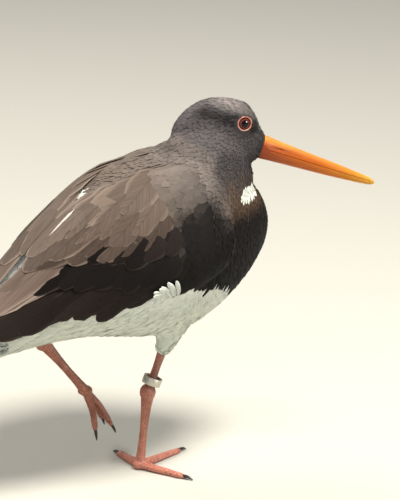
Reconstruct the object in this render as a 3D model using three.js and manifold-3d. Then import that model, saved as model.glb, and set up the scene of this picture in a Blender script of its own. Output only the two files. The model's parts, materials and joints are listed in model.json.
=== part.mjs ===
// A Eurasian oystercatcher, life size, walking: the right foot stands and the left leg swings forward.
// Millimetres, +Z up, +X the way the body faces. The origin lies on the floor under the root of the right foot's toes.
// The shapes are given in the body's own frame, whose XZ plane is the body's middle, and moved as one at the end.
import * as THREE from "three";
import { mergeVertices } from "three/addons/utils/BufferGeometryUtils.js";
import Module from "manifold-3d";

const wasm = await Module();
wasm.setup();

// Driving dimensions
const BREAST_X = 86; // the front of the breast
const VENT_X = -132; // the end of the feathers under the tail
const BILL_LENGTH = 74.5;
const TAIL_LENGTH = 92;
const EYE_RADIUS = 6.2; // the whole ball, most of it inside the head
const LID_THICK = 0.7; // the bare ring round the eye
const GAP = 0.3; // between parts that meet
const SOLE = [-7.5, -15.4, 5.9]; // where the standing foot meets the floor, in the body's own frame
const RIGHT = -1;
const LEFT = 1;

const plumageDark = new THREE.MeshStandardMaterial({ color: 0x4b413c, roughness: 0.85 });
const plumageHead = new THREE.MeshStandardMaterial({ color: 0x45434a, roughness: 0.9 });
const plumageWhite = new THREE.MeshStandardMaterial({ color: 0xdfe2dc, roughness: 0.9 });
const billHorn = new THREE.MeshStandardMaterial({ color: 0xe8741d, roughness: 0.35 });
const eyeRed = new THREE.MeshStandardMaterial({ color: 0x8f2413, roughness: 0.1 });
const lidOrange = new THREE.MeshStandardMaterial({ color: 0xd8643a, roughness: 0.5 });
const legSkin = new THREE.MeshStandardMaterial({ color: 0xc0705c, roughness: 0.55 });
const clawHorn = new THREE.MeshStandardMaterial({ color: 0x2b2522, roughness: 0.4 });
const ringMetal = new THREE.MeshStandardMaterial({ color: 0xa9aaa6, roughness: 0.4, metalness: 0.9 });

// A closed geometry as a solid that can be joined and cut, its faces turned outwards.
function solidOf(geometry) {
  const bare = geometry.clone();
  bare.deleteAttribute("normal");
  bare.deleteAttribute("uv");
  const merged = mergeVertices(bare, 1e-4);
  const corners = new Uint32Array(merged.index.array);
  const make = () =>
    new wasm.Manifold(
      new wasm.Mesh({
        numProp: 3,
        vertProperties: new Float32Array(merged.attributes.position.array),
        triVerts: corners,
      }),
    );
  const made = make();
  if (made.volume() > 0) return made;
  for (let i = 0; i < corners.length; i += 3) {
    [corners[i + 1], corners[i + 2]] = [corners[i + 2], corners[i + 1]];
  }
  return make();
}

function meshOf(name, solid, material) {
  const made = solid.getMesh();
  const geometry = new THREE.BufferGeometry();
  geometry.setAttribute("position", new THREE.BufferAttribute(new Float32Array(made.vertProperties), 3));
  geometry.setIndex(new THREE.BufferAttribute(new Uint32Array(made.triVerts), 1));
  geometry.computeVertexNormals();
  const mesh = new THREE.Mesh(geometry, material);
  mesh.name = name;
  return mesh;
}

const union = (solids) => solids.reduce((whole, next) => whole.add(next));

// The values of a table of stations at x. Each row is a place on x and then the sizes there.
function stations(rows) {
  const sorted = [...rows].sort((a, b) => a[0] - b[0]);
  const width = rows[0].length - 1;
  const places = sorted.map((row) => row[0]);
  const reader = new THREE.CubicInterpolant(places, sorted.flatMap((row) => row.slice(1)), width);
  return (x) => [...reader.evaluate(THREE.MathUtils.clamp(x, places[0], places.at(-1)))];
}

// A closed tube of rings: place(share along, angle, radius share) gives each point.
function tube(rings, sides, place) {
  const geometry = new THREE.CylinderGeometry(1, 1, 1, sides, rings);
  const at = geometry.attributes.position;
  for (let i = 0; i < at.count; i++) {
    const along = 0.5 - at.getY(i);
    const point = place(along, Math.atan2(at.getX(i), at.getZ(i)), Math.hypot(at.getX(i), at.getZ(i)));
    at.setXYZ(i, point.x, point.y, point.z);
  }
  return geometry;
}

// A limb: rings of radius [across, front to back] round the points of a smooth line.
function limb(points, radii, sides, rings) {
  const line = new THREE.CatmullRomCurve3(points.map((p) => new THREE.Vector3(...p)), false, "centripetal");
  const size = stations(radii);
  const sideways = new THREE.Vector3(0, 1, 0);
  return solidOf(
    tube(rings, sides, (along, angle, share) => {
      const tangent = line.getTangent(along);
      const across = sideways.clone().addScaledVector(tangent, -sideways.dot(tangent)).normalize();
      const front = new THREE.Vector3().crossVectors(across, tangent);
      const [wide, deep] = size(along);
      return line
        .getPoint(along)
        .addScaledVector(across, wide * share * Math.sin(angle))
        .addScaledVector(front, deep * share * Math.cos(angle));
    }),
  );
}

// A thin closed plate, split into triangles alike on both faces: place(along, across, 1 for the outer face) gives a point.
function plate(rows, columns, place) {
  const positions = [];
  const index = [];
  const at = (face, i, j) => (face * (rows + 1) + i) * (columns + 1) + j;
  for (const face of [0, 1]) {
    for (let i = 0; i <= rows; i++) {
      for (let j = 0; j <= columns; j++) {
        positions.push(...place(i / rows, j / columns, face).toArray());
      }
    }
  }
  const quad = (a, b, c, d) => index.push(a, b, c, a, c, d);
  for (let i = 0; i < rows; i++) {
    for (let j = 0; j < columns; j++) {
      quad(at(1, i, j), at(1, i + 1, j), at(1, i + 1, j + 1), at(1, i, j + 1));
      index.push(at(0, i, j), at(0, i + 1, j + 1), at(0, i + 1, j));
      index.push(at(0, i, j), at(0, i, j + 1), at(0, i + 1, j + 1));
    }
    quad(at(0, i, 0), at(0, i + 1, 0), at(1, i + 1, 0), at(1, i, 0));
    quad(at(1, i, columns), at(1, i + 1, columns), at(0, i + 1, columns), at(0, i, columns));
  }
  for (let j = 0; j < columns; j++) {
    quad(at(0, 0, j + 1), at(0, 0, j), at(1, 0, j), at(1, 0, j + 1));
    quad(at(0, rows, j), at(0, rows, j + 1), at(1, rows, j + 1), at(1, rows, j));
  }
  const geometry = new THREE.BufferGeometry();
  geometry.setAttribute("position", new THREE.BufferAttribute(new Float32Array(positions), 3));
  geometry.setIndex(index);
  return geometry;
}

// A thin disc cut through a solid, square to a direction.
function slot(point, direction, radius, width = GAP) {
  const disc = new THREE.CylinderGeometry(radius, radius, width, 24);
  const turn = new THREE.Quaternion().setFromUnitVectors(
    new THREE.Vector3(0, 1, 0),
    new THREE.Vector3(...direction).normalize(),
  );
  disc.applyQuaternion(turn).translate(...point);
  return solidOf(disc);
}

function ball(centre, radii, segments, turn = new THREE.Quaternion()) {
  const sphere = new THREE.SphereGeometry(1, segments, Math.round(segments * 0.6));
  sphere.scale(...radii).applyQuaternion(turn).translate(...centre);
  return solidOf(sphere);
}

// The piece of a cut solid that holds a point.
function pieceAt(pieces, point) {
  const probe = ball(point, [0.4, 0.4, 0.4], 6);
  const found = pieces.filter((piece) => piece.intersect(probe).volume() > 0);
  if (found.length !== 1) throw new Error(found.length + " pieces hold the point " + point);
  return found[0];
}

const largest = (solid) => solid.decompose().sort((a, b) => b.volume() - a.volume())[0];

// Torso: a sphere drawn out along X. The table gives the height of the middle, the half height and the half width.
const torsoTable = stations([
  [BREAST_X, 152, 62, 45],
  [60, 151, 63.5, 48],
  [30, 147.5, 64, 50],
  [0, 145, 57, 50],
  [-40, 139, 44, 43],
  [-80, 117.5, 29, 29],
  [-105, 103, 22, 23],
  [VENT_X, 93, 18, 16],
]);

function torsoSolid() {
  const middle = (BREAST_X + VENT_X) / 2;
  const reach = (BREAST_X - VENT_X) / 2;
  const sphere = new THREE.SphereGeometry(1, 20, 18).rotateZ(-Math.PI / 2);
  const at = sphere.attributes.position;
  for (let i = 0; i < at.count; i++) {
    const x = middle + reach * at.getX(i);
    const [height, tall, wide] = torsoTable(x);
    at.setXYZ(i, x, wide * at.getY(i), height + tall * at.getZ(i));
  }
  return solidOf(sphere);
}

// Head and bill: their own frame, with X along the bill from its root, turned to the right and tipped down.
const HEAD_ROOT = [78.7, -12.4, 203.4];
const HEAD_YAW = THREE.MathUtils.degToRad(-20);
const HEAD_PITCH = THREE.MathUtils.degToRad(20);
const headFrame = new THREE.Matrix4()
  .makeTranslation(...HEAD_ROOT)
  .multiply(new THREE.Matrix4().makeRotationZ(HEAD_YAW))
  .multiply(new THREE.Matrix4().makeRotationY(HEAD_PITCH));
const inHead = (x, y, z) => new THREE.Vector3(x, y, z).applyMatrix4(headFrame);
const headTurn = new THREE.Quaternion().setFromRotationMatrix(headFrame);

const SKULL_LENGTH = 56.5;
// Along the head from its back: the top, the underside and the half width.
const skullTable = stations([
  [-SKULL_LENGTH, -3, -9, 4],
  [-53.5, 4.5, -15, 9],
  [-47.5, 13, -18, 13],
  [-41, 18.2, -19, 15],
  [-33, 21.2, -18.5, 15.8],
  [-24, 22.5, -17, 15.2],
  [-15.4, 20.4, -15.5, 13.2],
  [-10, 15.6, -14, 11.5],
  [-6, 11.6, -12.4, 9.6],
  [-2.2, 9, -9.6, 7.6],
  [0, 8.3, -8.3, 6.4],
]);
const SKULL_SQUARE = 0.84; // under 1, the section is fuller than an oval

function skullSolid() {
  return solidOf(
    tube(15, 14, (along, angle, share) => {
      const x = -SKULL_LENGTH * along;
      const [top, under, half] = skullTable(x);
      const full = (v) => Math.sign(v) * Math.pow(Math.abs(v), SKULL_SQUARE);
      const middle = (top + under) / 2;
      return inHead(x, half * share * full(Math.cos(angle)), middle + (full(Math.sin(angle)) * share * (top - under)) / 2);
    }),
  );
}

const neckSolid = () =>
  limb(
    [[28, 0, 158], [40, -1, 180], [48, -4, 200], [56, -7, 214]],
    [[0, 40, 40], [0.35, 32, 35], [0.7, 22, 28], [1, 14, 18]],
    18,
    9,
  );

// Along the bill from its root: the top, the underside and the half width.
const billTable = stations([
  [-4, 7.7, -7.7, 4.6],
  [0, 7.5, -7.5, 4.8],
  [7, 6.9, -7, 4.2],
  [31, 5.2, -5.6, 2.9],
  [46, 4.3, -4.7, 2.4],
  [59, 3.3, -3.6, 1.8],
  [68, 2.1, -2.3, 1.2],
  [72.5, 1.2, -1.2, 0.8],
  [BILL_LENGTH, 0.3, -0.4, 0.4],
]);
const MOUTH_Z = 0.4; // the mouth line lies above the bill's axis

function billSolid(start) {
  return solidOf(
    tube(16, 12, (along, angle, share) => {
      const x = start + (BILL_LENGTH - start) * along;
      const [top, under, half] = billTable(x);
      const middle = (top + under) / 2;
      return inHead(x, half * share * Math.cos(angle), middle + (Math.sin(angle) * share * (top - under)) / 2);
    }),
  );
}

// One half of the bill: what lies above or below the mouth line.
function billHalf(whole, side) {
  const half = new THREE.BoxGeometry(BILL_LENGTH * 3, 60, 60);
  half.translate(0, 0, MOUTH_Z + side * (30 + GAP / 2)).applyMatrix4(headFrame);
  return whole.intersect(solidOf(half));
}

const NOSTRIL = { x: 11, z: 2.8, long: 5, high: 0.7, deep: 2.2 };
const nostrils = () =>
  union(
    [LEFT, RIGHT].map((side) => {
      const place = inHead(NOSTRIL.x, side * billTable(NOSTRIL.x)[2], NOSTRIL.z);
      return ball(place.toArray(), [NOSTRIL.long, NOSTRIL.deep, NOSTRIL.high], 10, headTurn);
    }),
  );

// Eyes: each ball looks outwards and a little forward. The lids are a shell over it, open where the eye shows.
const EYE_BACK = -19.7;
const EYE_UP = 13.4;
const EYE_OUT = 8.3; // the ball's middle from the head's own middle
const EYE_FORWARD = THREE.MathUtils.degToRad(12);
const LID_INNER = EYE_RADIUS + GAP;
const LID_OUTER = LID_INNER + LID_THICK;
const LID_OPEN = THREE.MathUtils.degToRad(33);
const LID_EDGE = THREE.MathUtils.degToRad(45);

const eyeCentre = (side) => inHead(EYE_BACK, side * EYE_OUT, EYE_UP);
const eyeLook = (side) =>
  new THREE.Vector3(Math.sin(EYE_FORWARD), side * Math.cos(EYE_FORWARD), 0.1).normalize().applyQuaternion(headTurn);

const eyeBall = (side, radius, segments = 14) => ball(eyeCentre(side).toArray(), [radius, radius, radius], segments);

function lids(side) {
  const round = (radius, angle) => new THREE.Vector2(radius * Math.sin(angle), radius * Math.cos(angle));
  const middle = (LID_OPEN + LID_EDGE) / 2;
  const profile = [
    round(LID_INNER, LID_OPEN),
    round(LID_INNER, LID_EDGE),
    round(LID_OUTER, LID_EDGE),
    round(LID_OUTER, middle),
    round(LID_OUTER - 0.1, LID_OPEN),
    round(LID_INNER, LID_OPEN),
  ];
  const shell = new THREE.LatheGeometry(profile, 18);
  shell.applyQuaternion(new THREE.Quaternion().setFromUnitVectors(new THREE.Vector3(0, 1, 0), eyeLook(side)));
  return solidOf(shell.translate(...eyeCentre(side).toArray()));
}

// Wings. A folded wing lies on a curved sheet. The table gives, along X, the lower edge and the upper edge
// (distance from the middle and height) and how far the sheet bows out between them.
const sheetTable = stations([
  [46, 41, 142, 24, 186, 13],
  [20, 47.5, 131, 13, 203, 17],
  [-20, 47.5, 129.5, 9, 196, 18],
  [-60, 42, 129, 6, 167, 11],
  [-100, 33, 119, 5, 131, 4],
  [-140, 22, 109, 6, 118, 3],
  [-192, 9, 97, 8, 101, 0.5],
]);

function sheetSize(x) {
  const [lowOut, lowUp, highOut, highUp, bow] = sheetTable(x);
  const chord = Math.hypot(highOut - lowOut, highUp - lowUp);
  return { lowOut, lowUp, highOut, highUp, bow, chord };
}

// A point of the wing's sheet: rise is the distance up from the lower edge, lift the height off the sheet.
function onSheet(side, x, rise, lift) {
  const s = sheetSize(x);
  const share = rise / s.chord;
  const outwards = [(s.highUp - s.lowUp) / s.chord, (s.lowOut - s.highOut) / s.chord];
  const bow = 4 * share * (1 - share) * s.bow + lift;
  const out = s.lowOut + (s.highOut - s.lowOut) * share + outwards[0] * bow;
  const up = s.lowUp + (s.highUp - s.lowUp) * share + outwards[1] * bow;
  return new THREE.Vector3(x, side * out, up);
}

const WING_FRONT = 43;
const WING_CORE_END = -128;
const coreThick = stations([[WING_FRONT, 7], [-40, 7], [-90, 4], [WING_CORE_END, 1.5]]);

// The wing's core. Grown by a clearance, and far outwards, it is the space that the body leaves for the wing.
function wingCore(side, grown) {
  return solidOf(
    plate(12, 5, (along, across, face) => {
      const x = THREE.MathUtils.lerp(WING_FRONT + grown, WING_CORE_END - grown, along);
      const chord = sheetSize(x).chord;
      const rise = THREE.MathUtils.lerp(-grown * 14, chord + grown * 14, across);
      const rounded = 1 - 0.85 * Math.pow(Math.abs(2 * across - 1), 4);
      const thick = coreThick(x)[0] * rounded;
      return onSheet(side, x, rise, face ? grown * 40 : -thick - grown);
    }),
  );
}

const vaneWidth = stations([[0, 0.55], [0.3, 0.9], [0.65, 1], [0.88, 0.74], [1, 0.26]]);

// A feather's vane on the sheet. slope is how far it points down from straight back.
function wingVane(side, { x, rise, slope, length, width, lift, sunk, rows }) {
  const down = THREE.MathUtils.degToRad(slope);
  return solidOf(
    plate(Math.round(rows), 2, (along, across, face) => {
      const half = (across - 0.5) * width * vaneWidth(along)[0];
      const px = x - length * along * Math.cos(down) - half * Math.sin(down);
      const pr = rise - length * along * Math.sin(down) + half * Math.cos(down);
      const rib = 0.35 * (1 - Math.abs(2 * across - 1));
      const outer = THREE.MathUtils.lerp(-0.7, lift, Math.min(1, along * 2.2)) + rib;
      return onSheet(side, px, pr, face ? outer : outer - rib - sunk);
    }),
  );
}

// A row of like vanes between a first and a last one.
function vaneRow(side, count, first, last) {
  return Array.from({ length: count }, (_, i) => {
    const share = count > 1 ? i / (count - 1) : 0;
    const vane = Object.fromEntries(Object.keys(first).map((k) => [k, THREE.MathUtils.lerp(first[k], last[k], share)]));
    return wingVane(side, vane);
  });
}

// The tiers, each from its first feather to its last, the undermost first.
const TIERS = [
  {
    count: 6, // primaries
    first: { x: -62, rise: 8, slope: 2.5, length: 122, width: 12, lift: -0.4, sunk: 0.8, rows: 4 },
    last: { x: -52, rise: 22, slope: 9, length: 96, width: 14, lift: 0.9, sunk: 0.8, rows: 4 },
  },
  {
    count: 4, // tertials
    first: { x: -34, rise: 30, slope: 11, length: 98, width: 22, lift: 1.4, sunk: 0.9, rows: 4 },
    last: { x: -36, rise: 45, slope: 20, length: 92, width: 22, lift: 2.2, sunk: 0.9, rows: 4 },
  },
  {
    count: 6, // greater coverts
    first: { x: 30, rise: 33, slope: 64, length: 34, width: 19, lift: 1, sunk: 2, rows: 3 },
    last: { x: -48, rise: 30, slope: 20, length: 44, width: 18, lift: 1.6, sunk: 1.6, rows: 3 },
  },
  {
    count: 5, // median coverts
    first: { x: 34, rise: 47, slope: 68, length: 28, width: 19, lift: 1.6, sunk: 2.4, rows: 3 },
    last: { x: -26, rise: 42, slope: 30, length: 34, width: 19, lift: 2.2, sunk: 2.2, rows: 3 },
  },
  {
    count: 4, // lower shoulder feathers
    first: { x: 26, rise: 62, slope: 55, length: 30, width: 21, lift: 2.2, sunk: 3, rows: 3 },
    last: { x: -34, rise: 50, slope: 27, length: 46, width: 21, lift: 2.8, sunk: 2.8, rows: 3 },
  },
  {
    count: 4, // upper shoulder feathers
    first: { x: 18, rise: 76, slope: 42, length: 34, width: 19, lift: 2.9, sunk: 3.4, rows: 3 },
    last: { x: -34, rise: 57, slope: 33, length: 50, width: 17, lift: 3.3, sunk: 3.2, rows: 3 },
  },
];

function wingSolid(side) {
  const vanes = TIERS.flatMap(({ count, first, last }) => vaneRow(side, count, first, last));
  const otherSide = new THREE.BoxGeometry(400, 100, 400).translate(0, side * (GAP / 2 - 50), 0);
  return largest(union([wingCore(side, 0), ...vanes]).subtract(solidOf(otherSide)));
}

// Tail: twelve feathers fanned from a flat root, the middle pair on top.
const TAIL_ROOT = [-84, 0, 112];
const TAIL_PITCH = THREE.MathUtils.degToRad(-21);
const TAIL_FAN = 15;
const TAIL_PAIRS = 6;
const tailFrame = new THREE.Matrix4()
  .makeTranslation(...TAIL_ROOT)
  .multiply(new THREE.Matrix4().makeRotationY(TAIL_PITCH));

const tailCore = (grown) => {
  const core = new THREE.SphereGeometry(1, 16, 10).scale(20 + grown, 14 + grown, 4.5 + grown);
  return solidOf(core.translate(-4, 0, 0).applyMatrix4(tailFrame));
};

function tailVane(side, order) {
  const fan = THREE.MathUtils.degToRad((TAIL_FAN * (order + 0.5)) / TAIL_PAIRS) * side;
  const length = TAIL_LENGTH - 1.3 * order;
  const drop = -0.75 * order;
  return solidOf(
    plate(4, 2, (along, across, face) => {
      const half = (across - 0.5) * side * THREE.MathUtils.lerp(9, 19, along) * vaneWidth(Math.max(along, 0.3))[0];
      const back = length * along;
      const tilt = 1 - 2 * across; // the outer edge lies lower than the inner one
      const point = new THREE.Vector3(
        -back * Math.cos(fan) + half * Math.sin(fan),
        back * Math.sin(fan) + half * Math.cos(fan) + side * order * 0.8,
        drop + 0.55 * tilt + (face ? 0.4 : -0.4) - 5 * along * along * 0.4,
      );
      return point.applyMatrix4(tailFrame);
    }),
  );
}

// The space that the body leaves for the tail feathers.
function tailSlot(grown) {
  return solidOf(
    plate(4, 4, (share, across, face) => {
      const half = (across - 0.5) * (THREE.MathUtils.lerp(24, 54, share) + 2 * grown);
      const height = (face ? 1.6 + grown : -6 - grown) - half * half * 0.004;
      return new THREE.Vector3(4 - (TAIL_LENGTH + 4) * share, half, height).applyMatrix4(tailFrame);
    }),
  );
}

function tailSolid() {
  const vanes = [LEFT, RIGHT].flatMap((side) => Array.from({ length: TAIL_PAIRS }, (_, order) => tailVane(side, order)));
  return largest(union([tailCore(0), ...vanes]));
}

// Legs. Each has a feathered thigh, a bare shank, the long tarsus and a foot of three toes with claws.
const fromSole = (x, y, z) => [SOLE[0] + x, SOLE[1] + y, SOLE[2] + z];

const rightLeg = {
  name: "right",
  knee: [24, -22, 122],
  hem: [9, -12.5, 79],
  ankle: fromSole(5.6, 0, 49.9),
  foot: fromSole(0, 0, 2.9),
  toes: [
    { name: "outer", heading: -58, length: 33 },
    { name: "middle", heading: 21, length: 36 },
    { name: "inner", heading: 97, length: 26 },
  ],
};

const leftLeg = {
  name: "left",
  knee: [-14, 24, 104],
  hem: [-45, 19, 91],
  ankle: [-58, 18, 87],
  foot: [-26.5, 25, 47],
  toes: [
    { name: "outer", tip: [-11, 34, 22.5] },
    { name: "middle", tip: [-8.5, 25, 20.5] },
    { name: "inner", tip: [-23, 17.5, 22] },
  ],
};

const mix = (a, b, share) => a.map((v, i) => v + (b[i] - v) * share);
const along = (from, to) => to.map((v, i) => v - from[i]);

// The direction of a cut that halves the bend at a joint.
function bend(before, joint, after) {
  const way = new THREE.Vector3(...along(joint, after)).normalize();
  return way.sub(new THREE.Vector3(...along(joint, before)).normalize()).toArray();
}

// A standing toe lies on the floor. A raised one hangs, a little curled.
function toePoints(leg, toe) {
  if (toe.tip) return [leg.foot, mix(leg.foot, toe.tip, 0.5).map((v, i) => v + (i === 0 ? 1.5 : 0)), toe.tip];
  const turn = THREE.MathUtils.degToRad(toe.heading);
  const step = (share, up) => fromSole(Math.cos(turn) * toe.length * share, Math.sin(turn) * toe.length * share, up);
  return [leg.foot, step(0.35, 2), step(0.7, 1.75), step(1, 1.3)];
}

function clawPoints(points) {
  const [before, tip] = points.slice(-2);
  const way = new THREE.Vector3(...tip).sub(new THREE.Vector3(...before)).normalize();
  const at = (far, up) => new THREE.Vector3(...tip).addScaledVector(way, far).add(new THREE.Vector3(0, 0, up)).toArray();
  return [at(-1.5, 0.3), at(2.5, 0.5), at(6, -0.5)];
}

function legPieces(leg) {
  const { name, hem, ankle, foot } = leg;
  const shank = limb(
    [mix(ankle, hem, 1.1), mix(ankle, hem, 0.5), ankle],
    [[0, 2.8, 3.1], [0.7, 2.7, 2.8], [1, 3.4, 4]],
    8,
    4,
  );
  const joint = ball(ankle, [5.4, 4.8, 6], 10);
  const tarsus = limb(
    [ankle, mix(ankle, foot, 0.35), mix(ankle, foot, 0.8), foot],
    [[0, 4.2, 4.6], [0.25, 2.6, 3.4], [0.6, 2.3, 2.7], [0.85, 3, 3], [1, 4, 3.4]],
    8,
    7,
  );
  const pad = ball(foot, [5, 4.8, 3.5], 10);
  const toeSizes = [[0, 3.2, 2.6], [0.45, 2.9, 2.4], [0.7, 2.5, 2.1], [0.9, 2.3, 1.9], [1, 1.5, 1.3]];
  const toes = leg.toes.map((toe) => limb(toePoints(leg, toe), toeSizes, 7, 5));
  const claws = leg.toes.map((toe) => {
    return limb(clawPoints(toePoints(leg, toe)), [[0, 1.3, 1.1], [0.4, 1.1, 1], [1, 0.3, 0.3]], 6, 3);
  });
  const floor = new THREE.BoxGeometry(300, 300, 20).translate(0, 0, SOLE[2] - 10);
  const whole = union([shank, joint, tarsus, pad, ...toes, ...claws]).subtract(solidOf(floor));
  const root = mix(ankle, foot, 0.9);
  const cuts = [
    slot(mix(ankle, hem, 0.96), along(ankle, hem), 8),
    slot(ankle, bend(hem, ankle, foot), 9),
    slot(root, along(ankle, foot), 6),
  ];
  const probes = {
    ["shank_" + name]: mix(hem, ankle, 0.4),
    ["tarsus_" + name]: mix(ankle, foot, 0.5),
    ["foot_" + name]: foot,
  };
  for (const toe of leg.toes) {
    const points = toePoints(leg, toe);
    cuts.push(slot(points.at(-1), along(points.at(-2), points.at(-1)), 3.2));
    probes["claw_" + name + "_" + toe.name] = clawPoints(points)[1];
  }
  const pieces = whole.subtract(union(cuts)).decompose();
  return Object.entries(probes).map(([node, probe]) => ({ node, solid: pieceAt(pieces, probe) }));
}

// The feathered thigh sits in the body, out to the hem where the bare shank shows.
const thighSolid = (leg, grown = 0) =>
  limb(
    [mix(leg.knee, leg.hem, 0 - grown / 40), mix(leg.knee, leg.hem, 0.5), leg.hem],
    [[0, 11 + grown, 10 + grown], [0.5, 9.5 + grown, 9.5 + grown], [1, 4.6 + grown, 5.2 + grown]],
    12,
    7,
  );

// A loose metal ring, open at its bore, that rests on the right ankle joint.
const RING = { inner: 5.25, outer: 5.95, high: 5, above: 7.9, lean: [0.4, -0.05, 1] };

function ringSolid() {
  const half = RING.high / 2;
  const wall = [
    [RING.inner, -half],
    [RING.outer, -half],
    [RING.outer, half],
    [RING.inner, half],
    [RING.inner, -half],
  ].map(([r, h]) => new THREE.Vector2(r, h));
  const ring = new THREE.LatheGeometry(wall, 24);
  const up = new THREE.Vector3(...RING.lean).normalize();
  const shankWay = new THREE.Vector3(...along(rightLeg.ankle, rightLeg.hem)).normalize();
  const middle = new THREE.Vector3(...rightLeg.ankle).addScaledVector(shankWay.lerp(up, 0.4), RING.above);
  ring.applyQuaternion(new THREE.Quaternion().setFromUnitVectors(new THREE.Vector3(0, 1, 0), up));
  return solidOf(ring.translate(...middle.toArray()));
}

const HEAD_CUT = inHead(-35, 0, -13).toArray();
const NECK_CUT = [43, 0, 177];

// The flesh is made whole and parted by thin cuts at the neck and the head. The thighs sit in sockets.
function fleshPieces() {
  let whole = union([torsoSolid(), neckSolid(), skullSolid()]);
  const head = slot(HEAD_CUT, [0.62, -0.25, 0.75], 60);
  const neck = slot(NECK_CUT, [0.55, 0, 0.84], 70);
  whole = whole.subtract(union([head, neck, tailCore(GAP), tailSlot(GAP)]));
  for (const leg of [rightLeg, leftLeg]) whole = whole.subtract(thighSolid(leg, GAP));
  for (const side of [LEFT, RIGHT]) {
    whole = whole.subtract(wingCore(side, GAP)).subtract(eyeBall(side, LID_OUTER + GAP, 16));
  }
  return whole.decompose();
}

const group = new THREE.Group();
const add = (name, solid, material) => group.add(meshOf(name, solid, material));

const flesh = fleshPieces();
add("torso", pieceAt(flesh, [20, 0, 130]), plumageWhite);
add("neck", pieceAt(flesh, mix(NECK_CUT, HEAD_CUT, 0.5)), plumageHead);
add("head", pieceAt(flesh, inHead(-25, 0, 14).toArray()), plumageHead);
for (const side of [LEFT, RIGHT]) {
  const name = side === LEFT ? "left" : "right";
  add("wing_" + name, wingSolid(side), plumageDark);
  add("eye_" + name, eyeBall(side, EYE_RADIUS), eyeRed);
  add("eyelid_" + name, lids(side), lidOrange);
}
add("tail", tailSolid(), plumageWhite);
const bill = billSolid(GAP);
add("bill_upper", billHalf(bill, 1).subtract(nostrils()), billHorn);
add("bill_lower", billHalf(bill, -1), billHorn);
for (const leg of [rightLeg, leftLeg]) {
  add("thigh_" + leg.name, thighSolid(leg), plumageWhite);
  for (const { node, solid } of legPieces(leg)) {
    add(node, solid, node.startsWith("claw") ? clawHorn : legSkin);
  }
}
add("leg_ring", ringSolid(), ringMetal);
group.position.set(-SOLE[0], -SOLE[1], -SOLE[2]);

export default group;
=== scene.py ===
import json
import math

import bpy
import numpy as np
from mathutils import Matrix, Vector
from mathutils.bvhtree import BVHTree

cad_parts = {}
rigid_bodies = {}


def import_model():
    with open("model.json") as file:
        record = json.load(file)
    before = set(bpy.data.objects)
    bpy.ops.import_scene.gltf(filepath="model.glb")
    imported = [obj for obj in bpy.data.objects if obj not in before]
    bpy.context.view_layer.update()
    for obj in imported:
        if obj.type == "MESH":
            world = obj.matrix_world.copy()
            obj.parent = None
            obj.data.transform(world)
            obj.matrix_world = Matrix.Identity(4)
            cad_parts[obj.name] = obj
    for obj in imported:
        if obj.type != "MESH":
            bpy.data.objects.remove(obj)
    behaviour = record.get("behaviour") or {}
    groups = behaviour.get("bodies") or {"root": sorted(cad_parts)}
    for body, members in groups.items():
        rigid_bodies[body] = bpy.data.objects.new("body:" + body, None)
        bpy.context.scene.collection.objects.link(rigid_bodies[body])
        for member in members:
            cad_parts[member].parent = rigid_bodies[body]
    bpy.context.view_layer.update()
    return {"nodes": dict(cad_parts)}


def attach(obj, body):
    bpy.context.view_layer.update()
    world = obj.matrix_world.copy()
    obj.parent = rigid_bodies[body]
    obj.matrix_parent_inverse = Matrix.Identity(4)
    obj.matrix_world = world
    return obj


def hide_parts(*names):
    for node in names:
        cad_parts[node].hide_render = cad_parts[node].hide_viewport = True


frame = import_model()
MM = 0.001
BODY = np.array((7.5, 15.4, -5.9))  # from the sole of the standing foot to the body's own frame
print("solid parts:", len(frame["nodes"]))

# %% [markdown]
# ## Smooth tables
#
# The bird's outline was measured at a few stations: how high, how wide. A smooth curve through the
# stations gives every size between them. It could be a Blender curve object, but a small function is
# shorter and exact.
# %% a smooth table


def stations(rows):
    """Sizes at any places on a smooth curve through the rows (place, size, size, ...)."""
    table = np.array(sorted(rows), float)
    places, sizes = table[:, 0], table[:, 1:]
    slopes = np.gradient(sizes, places, axis=0)

    def read(x):
        x = np.clip(np.asarray(x, float), places[0], places[-1])
        i = np.clip(np.searchsorted(places, x) - 1, 0, len(places) - 2)
        step = places[i + 1] - places[i]
        t = ((x - places[i]) / step)[..., None]
        step = step[..., None]
        near = (2 * t**3 - 3 * t**2 + 1) * sizes[i] + (t**3 - 2 * t**2 + t) * slopes[i] * step
        return near + (3 * t**2 - 2 * t**3) * sizes[i + 1] + (t**3 - t**2) * slopes[i + 1] * step

    return read


def soft_step(low, high, value):
    """0 at low, 1 at high, and a soft step between them. With low above high it falls instead of rising."""
    t = np.clip((np.asarray(value, float) - low) / (high - low), 0, 1)
    return t * t * (3 - 2 * t)


def unit(v):
    """Arrows of length 1."""
    return v / np.maximum(np.linalg.norm(v, axis=-1, keepdims=True), 1e-9)


print("table test:", stations([(0, 1), (1, 3), (2, 4)])([0.5, 1.5]).ravel())

# %% [markdown]
# ## Colours and nodes
#
# A colour is written as a painter's hex value, as the eye sees it. Blender calculates with linear light,
# so one function turns every value. Another one adds a shader node with its settings and links.
# %% colour and node helpers


def light(hexa):
    """An sRGB hex value as linear red, green, blue and full alpha."""
    parts = [int(hexa[i : i + 2], 16) / 255 for i in (1, 3, 5)]
    return [c / 12.92 if c <= 0.04045 else ((c + 0.055) / 1.055) ** 2.4 for c in parts] + [1.0]


def mix(start, goal, share):
    """Colours a share of the way from start to goal, which is a hex value or an array of linear colours."""
    goal = np.array(light(goal)) if isinstance(goal, str) else goal
    return start + (goal - start) * np.asarray(share)[..., None]


def set_inputs(node, **inputs):
    """Sets or links a node's inputs: a name has _ for each space, or is i and the input's number."""
    for key, value in inputs.items():
        slot = node.inputs[int(key[1:])] if key[1:].isdigit() else node.inputs[key.replace("_", " ")]
        if isinstance(value, bpy.types.NodeSocket):
            node.id_data.links.new(value, slot)
        else:
            slot.default_value = value


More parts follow.
